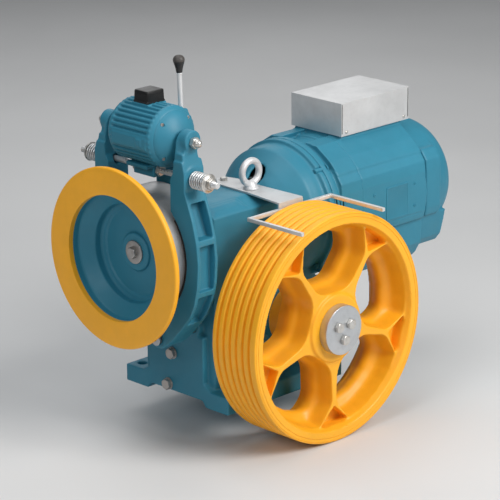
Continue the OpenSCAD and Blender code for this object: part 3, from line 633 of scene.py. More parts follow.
def plain(name, c, rough=(0.45, 0.6), grain=0.12, scale=420.0, metallic=0.0, vary=0.12, spec=0.5):
    m = Mat(name)
    base = m.mix(m.span(m.noise(24.0, 4.0, 0.6), 0.0, 1.0), scaled(c, 1 - vary), scaled(c, 1 + vary))
    # convex edges lightened by pointiness: a painted highlight, with a little wear
    edge_wear_and_highlight = tuple(min(1.0, x * 1.5 + 0.03) for x in c[:3]) + (1.0,)
    base = m.mix(m.mul(m.edge(0.53, 0.64), 0.35), base, edge_wear_and_highlight)
    m.colour(base)
    m.rough(m.span(m.noise(55.0, 3.0, 0.6), rough[0], rough[1]))
    m.bump((m.noise(scale, 3.0, 0.6), grain, 0.0003))
    m.set(Metallic=metallic)
    m.p.inputs["Specular IOR Level"].default_value = spec
    return m.m


C_TEAL = lin(47, 127, 152)
C_GOLD = lin(252, 178, 34)
TEAL = paint("teal_enamel", C_TEAL, wear_and_highlight=0.26, rough=(0.46, 0.58), coat=0.05)
GOLD = paint("yellow_enamel", C_GOLD, wear_and_highlight=0.22, rough=(0.40, 0.50), coat=0.08, sandy=0.05)
TURNED_X = steel("turned_steel_drum", lin(196, 196, 197), (0.34, 0.48), rings=((0, 0, ZD), "x", 900.0), metallic=0.45)
TURNED_Y = steel("turned_steel_plate", lin(200, 203, 206), (0.30, 0.46), rings=((SX, 0, SZ), "y", 800.0), metallic=0.85)
MACHINED = steel("machined_steel", lin(172, 174, 176), (0.26, 0.40), brush=(600.0, 90.0, 90.0))
LEVER = steel("bright_lever_rod", lin(226, 227, 228), (0.26, 0.38), metallic=0.35, stain=0.1)
ZINC = steel("zinc_plated_steel", lin(206, 204, 200), (0.26, 0.42), stain=0.35, dark=lin(138, 122, 92), metallic=0.75)
SPRING = steel("spring_steel", lin(220, 221, 222), (0.24, 0.36), stain=0.2, metallic=0.6)
BLACKENED = steel("dull_hub_bolt", lin(180, 176, 173), (0.28, 0.44), stain=0.4, dark=lin(104, 96, 90), metallic=0.6)
PLUG = steel("plug_steel", lin(184, 178, 174), (0.32, 0.48), stain=0.40, dark=lin(118, 106, 98), metallic=0.55)
SHEET = steel("zinc_sheet", lin(210, 211, 212), (0.42, 0.54), metallic=0.40, brush=(40.0, 700.0, 700.0), stain=0.12)
BAR = steel("zinc_bar", lin(222, 222, 222), (0.30, 0.44), metallic=0.45, brush=(90.0, 90.0, 500.0), stain=0.15)
FORGED = steel("forged_zinc", lin(222, 222, 224), (0.36, 0.52), metallic=0.35, grain=0.16, stain=0.3)
RUBBER = plain("black_rubber", lin(26, 26, 27), (0.55, 0.72))
PLASTIC = plain("black_plastic", lin(16, 16, 17), (0.30, 0.42), grain=0.2, scale=900.0)
KNOB = plain("knob_plastic", lin(22, 22, 24), (0.22, 0.34), grain=0.04)
KNOBTOP = plain("knob_disc", lin(70, 66, 64), (0.40, 0.55), grain=0.08)
LINING = plain("friction_lining", lin(40, 38, 36), (0.75, 0.9), grain=0.5, scale=650.0, vary=0.25)
CORE = plain("core_iron", lin(92, 92, 96), (0.42, 0.56), metallic=0.8)
IRON = plain("bare_iron", lin(100, 101, 104), (0.50, 0.66), metallic=0.75, grain=0.3, scale=300.0)
COPPER = plain("copper_winding", lin(176, 96, 48), (0.32, 0.45), metallic=0.7, grain=0.35, scale=260.0)
BRONZE = plain("bronze", lin(176, 128, 66), (0.30, 0.42), metallic=0.95, grain=0.08)
BY_SLOT = {"teal_paint": TEAL, "yellow_paint": GOLD, "machined_steel": MACHINED, "zinc_steel": ZINC, "zinc_sheet": SHEET,
           "black_rubber": RUBBER, "black_plastic": PLASTIC, "friction_lining": LINING, "plug_steel": PLUG,
           "core_iron": CORE, "copper_winding": COPPER, "bare_iron": IRON, "bronze": BRONZE, "lever_steel": ZINC}


def give(ob, mat):
    ob.data.materials.clear()
    ob.data.materials.append(mat)
    return ob


def finish(ob, mat, body, slot, *nodes, angle=38.0):
    shade(ob, angle)
    give(ob, mat)
    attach(ob, body)
    if nodes:
        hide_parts(*nodes)
    return ob


def cast(node, name, voxel, rounds, subs=(), adds=(), mat=None, body=None, slot="teal_paint", weight=None, lam=0.5):
    """A casting: the node's solid with its details, every edge and inner corner rounded as a pattern maker would."""
    ob = copy_node(node, name)
    for s in subs:
        boolean(ob, s, "DIFFERENCE")
    if adds:
        ob = join(name, [ob, *adds])
        ob.name = name
    remesh(ob, voxel)
    relax(ob, rounds, lam, weight)
    return finish(ob, mat or TEAL, body or BODY_OF[node], slot, node, angle=60.0)


def crisp(node, name, mat, slot, width=0.8, seg=2, angle=32.0):
    """A machined or folded part: the node's own solid with its edges broken."""
    ob = copy_node(node, name)
    flatten(ob)
    bevel(ob, width, seg, angle)
    return finish(ob, mat, BODY_OF[node], slot, node)


# ------------------------------------------------------------------ camera, light and floor
def camera():
    cam = bpy.data.cameras.new("camera")
    cam.sensor_width = 36.0
    cam.lens = 188.401
    cam.clip_start, cam.clip_end = 0.5, 60.0
    ob = bpy.data.objects.new("camera", cam)
    scene.collection.objects.link(ob)
    az, el, roll = -0.778851, 0.308212, -0.0091506
    b = Vector((math.sin(az) * math.cos(el), -math.cos(az) * math.cos(el), math.sin(el)))
    r = (-b).cross(Vector((0, 0, 1))).normalized()
    u = r.cross(-b)
    c, s = math.cos(roll), math.sin(roll)
    x, y = r * c + u * s, u * c - r * s
    m = Matrix(((x.x, y.x, b.x, -4.1949), (x.y, y.y, b.y, -4.3086), (x.z, y.z, b.z, 2.24065), (0, 0, 0, 1)))
    ob.matrix_world = m
    scene.camera = ob


def area(name, loc, target, size, power, colour=(1, 1, 1), size_y=None):
    L = bpy.data.lights.new(name, "AREA")
    L.energy, L.color, L.size = power, colour, size
    if size_y:
        L.shape, L.size_y = "RECTANGLE", size_y
    ob = bpy.data.objects.new(name, L)
    scene.collection.objects.link(ob)
    ob.location = loc
    ob.rotation_mode = "QUATERNION"
    ob.rotation_quaternion = (Vector(target) - Vector(loc)).to_track_quat("-Z", "Y")
    return ob


def studio():
    w = bpy.data.worlds.new("studio")
    scene.world = w
    w.use_nodes = True
    w.node_tree.nodes["Background"].inputs[0].default_value = (0.94, 0.97, 1.0, 1.0)
    w.node_tree.nodes["Background"].inputs[1].default_value = 0.16
    mid = (0.1, 0.0, 0.35)
    area("key", (0.8, -3.4, 2.9), mid, 2.2, 162.0, (1.0, 0.985, 0.96))
    area("top", (-0.6, 0.2, 4.0), mid, 2.8, 54.0, (1.0, 1.0, 1.0))
    area("left", (-3.4, -1.1, 2.4), mid, 1.6, 33.0, (0.95, 0.98, 1.0))
    area("rim", (2.6, 3.0, 2.0), mid, 1.8, 9.0, (1.0, 1.0, 1.0))
    area("back", (1.6, 2.4, 3.6), mid, 3.0, 22.0, (1.0, 1.0, 1.0))
    scene.view_settings.view_transform = "Standard"
    zf = cad_box[0][2] - 0.0012
    s = 14.0
    me = bpy.data.meshes.new("floor")
    k = 28
    g = np.linspace(-s, s, k)
    V = [(x, y, zf) for y in g for x in g]
    F = [(j * k + i, j * k + i + 1, (j + 1) * k + i + 1, (j + 1) * k + i) for j in range(k - 1) for i in range(k - 1)]
    me.from_pydata(V, [], F)
    fl = link("floor", me)
    m = Mat("pale_floor")
    m.colour(m.mix(m.span(m.noise(1.2, 2.0), 0.0, 1.0), (0.64, 0.645, 0.65, 1), (0.68, 0.685, 0.69, 1)))
    m.rough(m.span(m.noise(8.0, 3.0), 0.62, 0.74))
    give(fl, m.m)
    fl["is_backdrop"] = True


camera()
studio()

# ------------------------------------------------------------------ rope sheave
y0, y1 = B("traction_sheave")[0][1], B("traction_sheave")[1][1]
RS = (B("traction_sheave")[1][2] - B("traction_sheave")[0][2]) / 2
face = y0
rim_w = 140.0


def sheave():
    global face
    f = face
    # grooved rim: rounded lands between round-bottomed grooves
    pitch, first, half, depth, flank = 20.4, 22.4, 3.4, 8.6, 3.6
    out = [(253.2, f + 1.4), (254.2, f + 0.4)]
    out += [(267.0, f + 0.0), (267.5, f + 0.9), (268.6, f + 0.9), (269.1, f + 0.0),
            (274.6, f + 0.0), (275.1, f + 0.8), (276.0, f + 0.8), (276.5, f + 0.0)]
    out += [(RS - 3.2 + 3.2 * math.sin(a), f + 3.2 - 3.2 * math.cos(a)) for a in np.linspace(0.2, pi / 2, 6)]
    for i in range(6):
        yc = f + first + pitch * i
        pts = []
        for s in np.linspace(-1, 1, 29):
            d = abs(s) * (half + flank)
            if d < half:
                dep = 2.6 + (depth - 2.6) * (1 - (d / half) ** 2.6) ** 0.8
            else:
                q = (d - half) / flank
                dep = 2.6 * (1 - q) ** 2.2
            pts.append((RS - dep, yc + s * (half + flank)))
        out += pts
    out += [(RS - 3.2 + 3.2 * math.cos(a), f + rim_w - 3.2 + 3.2 * math.sin(a)) for a in np.linspace(0, pi / 2, 6)]
    out += [(254.2, f + rim_w - 0.2), (253.2, f + rim_w - 1.4)]
    rim = on_sheave("sheave_rim", out, 256)
    finish(rim, GOLD, "low_speed_shaft", "yellow_paint", "traction_sheave", angle=40.0)

    # spoked centre: web with five funnel-shaped windows between thin ribs, and its hub
    s0, s1 = f + 15.0, f + 15.0 + 99.0
    hub = [(38.2, f + 7.2), (79.5, f + 7.2), (82.3, f + 8.6), (83.5, f + 11.5), (84.0, s0 - 0.6), (86.0, s0), (246.5, s0), (252.6, f + 0.5), (254.0, f + 0.5),
           (254.0, f + rim_w - 0.6), (252.6, f + rim_w - 0.6), (246.5, f + rim_w - 14), (246.0, s1), (76, s1), (75, f + 160), (73.5, f + 161), (38.2, f + 161)]
    ob = on_sheave("sheave_spider", hub, 192)

    p = lambda r, a: (r * math.cos(math.radians(a)), r * math.sin(math.radians(a)))
    front = fil([p(99, 29.5), p(99, -29.5), p(190, -34), p(245, -24.4)] + [p(246.4, a) for a in (-15, -8, 0, 8, 15)] + [p(245, 24.4), p(190, 34)],
                [58, 58, 38, 15, 0, 0, 0, 0, 0, 15, 38], 10)
    throat = fil([p(109, 24.6), p(109, -24.6), p(187, -29.8), p(218, -23)] + [p(222, a) for a in (-8, 0, 8)] + [p(218, 23), p(187, 29.8)],
                 [40, 40, 60, 28, 0, 0, 0, 28, 60], 9)
    n = 144
    cen = np.array([168.0, 0.0])

    def rays(poly):
        """The outline's point in each of n directions from the window's middle."""
        P = np.array(poly) - cen
        d = np.r_[0, np.cumsum(np.linalg.norm(np.roll(P, -1, 0) - P, axis=1))]
        Q = np.concatenate([P, P[:1]])
        t = np.linspace(0, d[-1], 4000, endpoint=False)
        Q = np.stack([np.interp(t, d, Q[:, k]) for k in (0, 1)], 1)
        ang = np.arctan2(Q[:, 1], Q[:, 0])
        o = np.argsort(ang)
        a = np.linspace(-pi, pi, n, endpoint=False)
        r = np.interp(a, ang[o], np.hypot(Q[o, 0], Q[o, 1]), period=2 * pi)
        return np.stack([r * np.cos(a), r * np.sin(a)], 1)

    # matched points of both outlines: even along the front one
    W0, T0 = rays(front), rays(throat)
    W, T = W0 + cen, T0 + cen
    stations = [(-24, -0.02), (-1.5, 0.0), (0, 0.0), (10, 0.03), (20, 0.065), (28, 0.10), (34, 0.15), (39, 0.22), (42.5, 0.31), (45.5, 0.44), (48, 0.58), (50.5, 0.71),
                (53.5, 0.83), (57, 0.92), (61, 0.98), (65, 1.0), (69, 1.0), (75, 0.95), (82, 0.84), (89, 0.72), (99, 0.64), (130, 0.5)]
    cutters = []
    for k in range(5):
        a = math.radians(-90 + 72 * k)
        # window middles: the row's own windows, seen from the front
        ca, sa = math.cos(a), math.sin(a)
        V = []
        for s, q in stations:
            P = W + (T - W) * q
            X = P[:, 0] * ca - P[:, 1] * sa
            Z = P[:, 0] * sa + P[:, 1] * ca
            V.append(np.stack([X + SX, np.full(n, s0 + s), SZ - Z], 1))
        m = len(stations)
        F = [list(range(n)), [(m - 1) * n + i for i in range(n)][::-1]]
        for i in range(m - 1):
            for j in range(n):
                q = (j + 1) % n
                F.append((i * n + j, i * n + q, (i + 1) * n + q, (i + 1) * n + j))
        cutters.append(make("cut", np.concatenate(V), F))
        b = math.radians(-54 + 72 * k)
        tri = [(197, 0), (243.5, -11.0), (247.5, -7.4), (247.5, 7.4), (243.5, 11.0)]
        pts = [(r * math.cos(math.radians(q)), r * math.sin(math.radians(q))) for r, q in tri]
        pts = fil(pts, [2.5, 2, 0, 0, 2], 3)
        pts = [(SX + x * math.cos(b) - y * math.sin(b), SZ - (x * math.sin(b) + y * math.cos(b))) for x, y in pts]
        cutters.append(prism("cut", pts, "y", s0 - 20, s0 + 30))
        cutters.append(prism("cut", pts, "y", s1 - 30, s1 + 20))
    for c in cutters:
        boolean(ob, c, "DIFFERENCE")
    # remeshed and rounded, less towards the rim's outer edge and none beyond radius 250.5
    remesh(ob, 2.0)
    relax(ob, 5, 0.5, lambda co: np.clip((250.5 - np.hypot(co[:, 0] - SX, co[:, 2] - SZ)) / 3.0, 0.0, 1.0))
    finish(ob, GOLD, "low_speed_shaft", "yellow_paint", "traction_sheave", angle=60.0)


sheave()

# end plate and its three bolts
pl, ph = B("sheave_end_plate")
Rp = (ph[2] - pl[2]) / 2
prof = fil([(0, pl[1]), (Rp, pl[1]), (Rp, ph[1]), (0, ph[1])], [0, 1.6, 0.8, 0], 4)
plate = on_sheave("end_plate", prof, 128)
finish(plate, TURNED_Y, "low_speed_shaft", "machined_steel", "sheave_end_plate")
p = Part()
for a in (90, 210, 330):
    x, z = SX + 23.5 * math.cos(math.radians(a)), SZ - 23.5 * math.sin(math.radians(a))
    p.add(hex_vf(22, 9.8), (x, pl[1] - 0.2, z), (0, -1, 0), 12.0 + a)
    p.lathe([(0, 0.3), (6, 0.3), (6, -49), (5, -50), (0, -50)], (x, pl[1] - 0.2, z), (0, -1, 0), 24)
finish(p.done("end_plate_bolts"), ZINC, "low_speed_shaft", "zinc_steel", "sheave_bolts")

# ------------------------------------------------------------------ flywheel, hand rim and drum
hl, hh = B("hand_rim")
Rh = (hh[2] - hl[2]) / 2
rim = on_drive("hand_rim_ring", fil([(150.2, hh[0]), (150.2, hl[0]), (Rh, hl[0]), (Rh, hh[0])], [0.6, 1.6, 5.2, 3.6], 7), 256)
finish(rim, GOLD, "high_speed_shaft", "yellow_paint", "hand_rim", angle=40.0)

dl, dh = B("flywheel_dish")
xf = dl[0]  # flange face behind the hand rim
dx = lambda v: v + SX
dish_pts = [(150, dx(-393.9)), (184, dx(-393.9)), (184, dx(-388.2)), (157, dx(-388.2)), (156, dx(-377)), (125.5, dx(-351)), (125.5, dx(-328)), (121, dx(-321)),
            (22.05, dx(-321)), (22.05, dx(-335)), (43, dx(-335)), (45.5, dx(-333)), (46.5, dx(-328)), (50, dx(-327)), (104, dx(-327)), (108, dx(-330.5)),
            (113, dx(-331.5)), (117, dx(-333.5)), (119, dx(-337)), (119, dx(-350)), (120, dx(-353)), (147, dx(-375.5)), (149.4, dx(-379)), (150, dx(-383))]
dish_r = [0.8, 1.5, 1.0, 4, 5, 5, 3, 3, 0.5, 0.5, 2.0, 1.5, 2.5, 2.5, 3, 2, 2, 3, 2, 4, 5, 5, 3, 3]
dish = on_drive("flywheel_shell", fil(dish_pts, dish_r, 5), 256)
finish(dish, TEAL, "high_speed_shaft", "teal_paint", "flywheel_dish", angle=40.0)

drum_pts = [(138, dx(-358)), (147, dx(-358)), (148, dx(-357)), (148, dx(-237)), (147, dx(-236)), (136, dx(-236)), (136, dx(-304)), (48, dx(-304)), (44, dx(-298)), (44, dx(-240)), (42, dx(-238)),
            (22.05, dx(-238)), (22.05, dx(-320.6)), (132, dx(-320.6)), (138, dx(-326))]
drum = on_drive("drum_turned", fil(drum_pts, [0.6, 1.2, 1.2, 1.2, 1.2, 1, 5, 5, 3, 1, 1, 0.5, 0.5, 2, 2], 4), 224)
finish(drum, TURNED_X, "high_speed_shaft", "machined_steel", "brake_drum", angle=40.0)

wl, wh = B("hub_washer")
Rw = (wh[2] - wl[2]) / 2
ws = on_drive("hub_washer_plate", fil([(8.6, wl[0]), (Rw, wl[0]), (Rw, wh[0]), (8.6, wh[0])], [0.4, 1.1, 0.4, 0.3], 3), 96)
finish(ws, BLACKENED, "high_speed_shaft", "machined_steel", "hub_washer")
p = Part()
p.add(hex_vf(24.8, 10.2), (wl[0] - 0.1, 0, ZD), (-1, 0, 0), 18)
p.lathe([(0, 0.2), (8, 0.2), (8, -46), (6.8, -47.8), (0, -47.8)], (wl[0] - 0.1, 0, ZD), (-1, 0, 0), 32)
p.lathe(fil([(9.0, 0.0), (13.8, 0.0), (13.8, 1.2), (9.0, 1.2)], 0.3, 2), (wl[0] - 0.1, 0, ZD), (-1, 0, 0), 48)
finish(p.done("hub_bolt_head"), BLACKENED, "high_speed_shaft", "plug_steel", "hub_bolt")

# ------------------------------------------------------------------ castings
spot = [rod("cut", (x, y, 41.6), (x, y, 60), 19) for x in (-162, 162) for y in (-154, 154)]
steps = []
for s in (-1, 1):
    # raised panel with stepped edges on the sloped shoulders of the case
    for (u0, u1, h, x0, x1) in ((0.12, 0.88, 2.6, -168, -62), (0.30, 0.70, 5.0, -160, -74)):
        a = np.array([s * 120.0, 468.0])
        b = np.array([s * 70.0, 487.0])
        d = (b - a) / np.linalg.norm(b - a)
        nrm = np.array([-d[1], d[0]]) * (1 if s < 0 else -1)
        if nrm[1] < 0:
            nrm = -nrm
        p0, p1 = a + (b - a) * u0, a + (b - a) * u1
        steps.append(prism("add", [tuple(p0 - nrm * 6), tuple(p1 - nrm * 6), tuple(p1 + nrm * h), tuple(p0 + nrm * h)], "x", x0, x1))
shoulder = on_drive("cut", [(98, 40), (98, 48), (111, 60), (131.5, 83), (151.0, 108), (157.8, 117), (160.4, 121), (163, 143), (166.5, 150), (170.5, 158), (172.5, 166),
                            (173.0, 184), (240, 184), (240, 40)], 192)
boolean(shoulder, slab("keep", (0, -260, 396), (300, 260, 700)), "INTERSECT")
cast("gear_housing", "gearbox_casting", 2.6, 5, subs=spot + [shoulder], adds=steps)

# motor shell: the bell-side half and the stator frame, with the raised pads, their panel lines and a band at the rear end
fl_, fh_ = B("motor_frame")
bl_, bh_ = B("bell_housing")
px0, px1 = bl_[0] + 46, fl_[0] + 16
for node, name, x0, x1 in (("bell_housing", "bell_casting", bl_[0] + 28, bh_[0] + 2.6), ("motor_frame", "motor_frame_casting", fl_[0] - 0.6, fl_[0] + 16)):
    mcut, madd, late = [], [], []
    bell = node == "bell_housing"
    for s in (-1, 1):
        # flat slope that joins the upper pad to the side pad
        madd.append(prism("add", [(s * 40, 562), (s * 78, 558.5), (s * 112, 536), (s * 121.5, 529.5), (s * 147.6, 502.3), (s * 150.6, 497.4), (s * 130, 480), (s * 60, 500)], "x", x0, fh_[0] - 6 if not bell else x1))
        side = [(s * 100, 506), (s * 142, 506), (s * 163, 478), (s * 166, 452), (s * 166, 352), (s * 160, 330), (s * 100, 330)]
        madd.append(prism("add", side, "x", x0 - 2 if bell else x0, x1))
        if bell:
            madd.append(prism("add", [(s * 100, 500), (s * 140, 500), (s * 161, 474), (s * 163, 462), (s * 100, 462)], "x", x0 - 3, x0 + 16))
        c = np.array([s * 151.0, 497.6])
        t, nrm = np.array([s * 0.6, -0.8]), np.array([s * 0.8, 0.6])
        g = [c - t * 1.7 - nrm * 3.0, c + t * 1.7 - nrm * 3.0, c + t * 2.3 + nrm * 6, c - t * 2.3 + nrm * 6]
        mcut.append(prism("cut", [tuple(v) for v in g], "x", 243 if bell else x0 - 3, x1 + 3 if bell else 491))
        if bell:
            for x, zt in ((185.0, 450), (197.5, 445), (210.0, 438)):
                late.append(slab("cut", (x, min(s * 126, s * 190), 342), (x + 5.0, max(s * 126, s * 190), zt)))
        else:
            mcut.append(prism("cut", fil([(s * 163.4, 350.0), (s * 172.0, 349.0), (s * 172.0, 346.2), (s * 162.4, 346.6)], 0.6, 2), "x", fl_[0] + 30, fh_[0] - 20))
            mcut.append(prism("cut", fil([(s * 117.5, 529.0), (s * 125.5, 536.5), (s * 123.5, 538.5), (s * 115.5, 531.0)], 0.5, 2), "x", x0 - 3, fh_[0] - 8))
    if bell:
        madd.append(on_drive("add", [(152.5, bl_[0] + 1), (172.5, bl_[0] + 1), (173.0, bl_[0] + 15), (171.0, bl_[0] + 20), (167.0, bl_[0] + 24), (162, bl_[0] + 27), (152.5, bl_[0] + 28)], 160))
        trim = on_drive("cut", [(173.2, bl_[0] - 1), (173.2, bl_[0] + 26), (240, bl_[0] + 26), (240, bl_[0] - 1)], 192)
        boolean(trim, slab("keep", (100, -260, 396), (400, 260, 700)), "INTERSECT")
        mcut.append(trim)
    else:
        madd.append(on_drive("add", [(150, fh_[0] - 26), (164.4, fh_[0] - 26), (166.2, fh_[0] - 22), (166.2, fh_[0] - 1), (150, fh_[0] - 1)], 128))
    ob = copy_node(node, name)
    ob = join(name, [ob, *madd])
    ob.name = name
    remesh(ob, 2.0)
    for c in mcut:
        boolean(ob, c, "DIFFERENCE")
    remesh(ob, 2.0)
    relax(ob, 4)
    for c in late:
        boolean(ob, c, "DIFFERENCE")
    finish(ob, TEAL, BODY_OF[node], "teal_paint", node, angle=60.0)
el_, eh_ = B("motor_end_cover")
eadd = []
for s in (-1, 1):
    eadd.append(prism("add", [(s * 106, 484), (s * 122, 484), (s * 127, 500), (s * 112, 505), (s * 100, 500)], "x", el_[0] + 28, el_[0] + 66))
cast("motor_end_cover", "motor_end_casting", 2.4, 6, adds=eadd)


def arm(side):
    node = "brake_arm_" + side
    lo, hi = B(node)
    s = -1 if side == "right" else 1
    top = hi[2]
    xc = (B("adjuster_" + side)[0][0] + B("adjuster_" + side)[1][0]) / 2
    zc = (B("adjuster_" + side)[0][2] + B("adjuster_" + side)[1][2]) / 2
    # round elbow that carries the adjusting screw, blended into the neck
    prof = [(8.2, 116.6), (26.6, 116.6), (27.8, 118.4), (27.6, 121.5), (25.6, 126), (22.6, 131), (19.6, 136), (17.2, 141), (16.2, 144.6), (15.0, 145.6), (8.2, 145.6)]
    V, F = lathe_vf(prof, 64)
    V = np.stack([V[:, 0] + xc, s * V[:, 2], V[:, 1] + zc - 0.8], 1)
    elbow = make("add", V, F)
    ob = copy_node(node, "brake_arm_casting_" + side)
    # neck that narrows towards its outer face
    inner = fil([(xc - 37, 598), (xc - 34.5, 650), (xc - 29.5, 680), (xc - 18, 692), (xc + 14, 692), (xc + 23, 676), (xc + 27, 640), (xc + 37, 598)], [2, 10, 8, 8, 8, 8, 10, 2], 4)
    outer = fil([(xc - 27, 598), (xc - 20, 650), (xc - 14.5, 676), (xc - 9, 683), (xc + 7, 683), (xc + 12, 676), (xc + 18, 640), (xc + 29, 598)], [2, 10, 6, 6, 6, 6, 10, 2], 4)
    m = len(inner)
    V = [(u, s * 117.0, v) for u, v in inner] + [(u, s * 143.0, v) for u, v in outer]
    F = [list(range(m))[::-1], [m + i for i in range(m)]] + [(i, (i + 1) % m, m + (i + 1) % m, m + i) for i in range(m)]
    ob = join(ob.name, [ob, elbow, make("add", V, F)])
    ob.name = "brake_arm_casting_" + side
    remesh(ob, 1.6)
    relax(ob, 4)
    relax(ob, 14, 0.5, lambda co: np.clip((co[:, 2] - 612) / 26.0, 0.0, 1.0))
    finish(ob, TEAL, BODY_OF[node], "teal_paint", node, angle=60.0)


for s in ("right", "left"):
    arm(s)
cast("solenoid_bracket", "solenoid_stand", 1.7, 4)

# ------------------------------------------------------------------ solenoid
cl, ch = B("solenoid_coil")
ax, az_ = (cl[0] + ch[0]) / 2, (cl[2] + ch[2]) / 2
capL, capR = B("solenoid_cap_left"), B("solenoid_cap_right")
yl, yr = capL[1][1] - 26, capR[0][1] + 26
kl, kh = B("release_lever")
lvx, lvy = ax + 60, JOINT["release_lever_tilt"]["pos_m"][1] * 1000
lvz = JOINT["release_lever_tilt"]["pos_m"][2] * 1000


def solenoid():
    N = 36 * 14
    th = np.arange(N) * 2 * pi / N
    ph = (np.degrees(th) / 10.0 + 0.5) % 1.0
    q = np.clip((0.5 - np.abs(ph - 0.5)) / 0.5, 0, 1)          # 0 in a groove, 1 on a rib's middle
    rib = 1.0 / (1.0 + np.exp(-(q - 0.36) * 16.0))
    deg = np.degrees(th)
    bare = (deg > 245) & (deg < 295)
    r = np.where(bare, 70.8, 67.4 + 6.4 * rib * (1 - 0.05 * (1 - q)))
    V = []
    for rr, y in ((r, yr + 12), (r, yl - 5), (np.full(N, 58.0), yl - 5), (np.full(N, 58.0), yr + 12)):
        V.append(np.stack([ax + rr * np.cos(th), np.full(N, float(y)), az_ + rr * np.sin(th)], 1))
    F = []
    for a in range(4):
        b = (a + 1) % 4
        F += [(a * N + i, a * N + (i + 1) % N, b * N + (i + 1) % N, b * N + i) for i in range(N)]
    ob = make("solenoid_barrel", np.concatenate(V), F)
    parts = [ob]
    for y, pr in ((yr + 4, [(59, 0.0), (64.4, 0.0), (67.6, 3.0), (70.6, 6.6), (72.2, 9.6), (73.2, 13.0), (72.6, 15.5), (69.0, 19.0), (59, 20.0)]),
                  (yl - 4, [(59, 0.0), (70.4, 0.0), (71.8, -1.2), (73.0, -3.2), (73.4, -5.6), (72.6, -8.0), (69.0, -11.0), (59, -12.0)])):
        W, G = lathe_vf(pr, 160)
        parts.append(make("add", np.stack([W[:, 0] + ax, y + W[:, 2], W[:, 1] + az_], 1), G))
    # flat panel with a small square pad at its end, and the seat of the terminal block
    xo = ax - 75.0
    parts.append(prism("add", fil([(xo, az_ - 20), (xo, az_ + 7), (xo + 5, az_ + 12), (xo + 22, az_ + 12), (xo + 22, az_ - 25), (xo + 5, az_ - 25)], 2.5, 3), "y", yr + 20, yl - 16))
    parts.append(prism("add", [(xo - 2.6, az_ - 14), (xo - 2.6, az_ + 3), (xo + 10, az_ + 3), (xo + 10, az_ - 14)], "y", yr + 34, yr + 52))
    tl, th_ = B("solenoid_terminal_block")
    cx, cy = (tl[0] + th_[0]) / 2, (tl[1] + th_[1]) / 2
    parts.append(slab("add", (cx - 29, cy - 26.5, az_ + 62), (cx + 29, cy + 26.5, tl[2] - 0.3)))
    # lug and ears of the release lever
    parts.append(slab("add", (lvx - 16, lvy - 9, 690), (lvx + 16, lvy + 9, 704.5)))
    for x in (-16, 8):
        parts.append(prism("add", fil([(lvy - 9, 690), (lvy + 9, 690), (lvy + 9, lvz + 10), (lvy - 9, lvz + 10)], [0, 0, 8.5, 8.5], 6), "x", lvx + x, lvx + x + 8))
    ob = join("solenoid_body", parts)
    ob.name = "solenoid_body"
    remesh(ob, 1.3)
    boolean(ob, slab("cut", (lvx - 8, lvy - 9.6, 704.5), (lvx + 8, lvy + 9.6, 760)), "DIFFERENCE")
    bore = lathe_vf([(0, yr - 2), (58.2, yr - 2), (58.2, yl + 2), (0, yl + 2)], 128)
    boolean(ob, make("cut", np.stack([bore[0][:, 0] + ax, bore[0][:, 2], bore[0][:, 1] + az_], 1), bore[1]), "DIFFERENCE")
    boolean(ob, slab("cut", (ax - 60, -42.2, az_ - 90), (ax + 72, 42.2, az_ - 70.6)), "DIFFERENCE")
    remesh(ob, 1.3)
    relax(ob, 3, 0.5)
    finish(ob, TEAL, BODY_OF["solenoid_housing"], "teal_paint", "solenoid_housing", angle=60.0)

    # end caps: one smooth dome each, four sunk screws
    for side, y, d in (("right", yr, -1), ("left", yl, 1)):
        if side == "right":
            prof = [(57.8, -9), (57.9, -4), (64.2, -4), (62.4, -1.5), (60.4, 1.2), (57.6, 4.2), (54.2, 7.2), (50.2, 10.2), (45.4, 13.4), (40, 16.4), (34, 19.2), (27, 22.0), (20, 24.3), (13.5, 25.8), (11.0, 26.0), (10.2, 25.2), (10.2, 8), (40, 8), (51, -1), (52.5, -9)]
        else:
            prof = [(57.8, -9), (57.9, -4), (70.2, -4), (68.8, -1.0), (66.6, 2.2), (63.6, 5.6), (59.8, 9.0), (55.2, 12.2), (49.6, 15.4), (43.0, 18.4), (35.6, 21.2), (27.6, 23.6), (20, 25.2), (12.5, 26.0), (11.0, 26.0), (10.2, 25.2), (10.2, 8), (42, 8), (51, 0), (52.5, -9)]
        W, G = lathe_vf(prof, 192)
        cap = make("cap", np.stack([W[:, 0] + ax, y + d * W[:, 2], W[:, 1] + az_], 1), G)
        screws = Part()
        for a in (43, 133, 223, 313):
            x, z = ax + 57.0 * math.cos(math.radians(a)), az_ - 57.0 * math.sin(math.radians(a))
            boolean(cap, rod("cut", (x, y + d * 0.6, z), (x, y + d * 40.0, z), 4.3, 32), "DIFFERENCE")
            screws.lathe(fil([(0, -4), (2.6, -4), (2.6, 0), (3.9, 0), (3.9, 3.4), (2.0, 3.4), (2.0, 1.2), (0, 1.2)], [0, 0.4, 0, 0.3, 0.7, 0.2, 0, 0], 2), (x, y + d * 0.65, z), (0, d, 0), 24)
        cap.name = "solenoid_cap_%s_casting" % side
        bevel(cap, 0.5, 2, 50)
        finish(cap, TEAL, BODY_OF["solenoid_cap_" + side], "teal_paint", "solenoid_cap_" + side, angle=50.0)
        finish(screws.done("solenoid_cap_screws_" + side), PLUG, BODY_OF["solenoid_cap_" + side], "plug_steel")

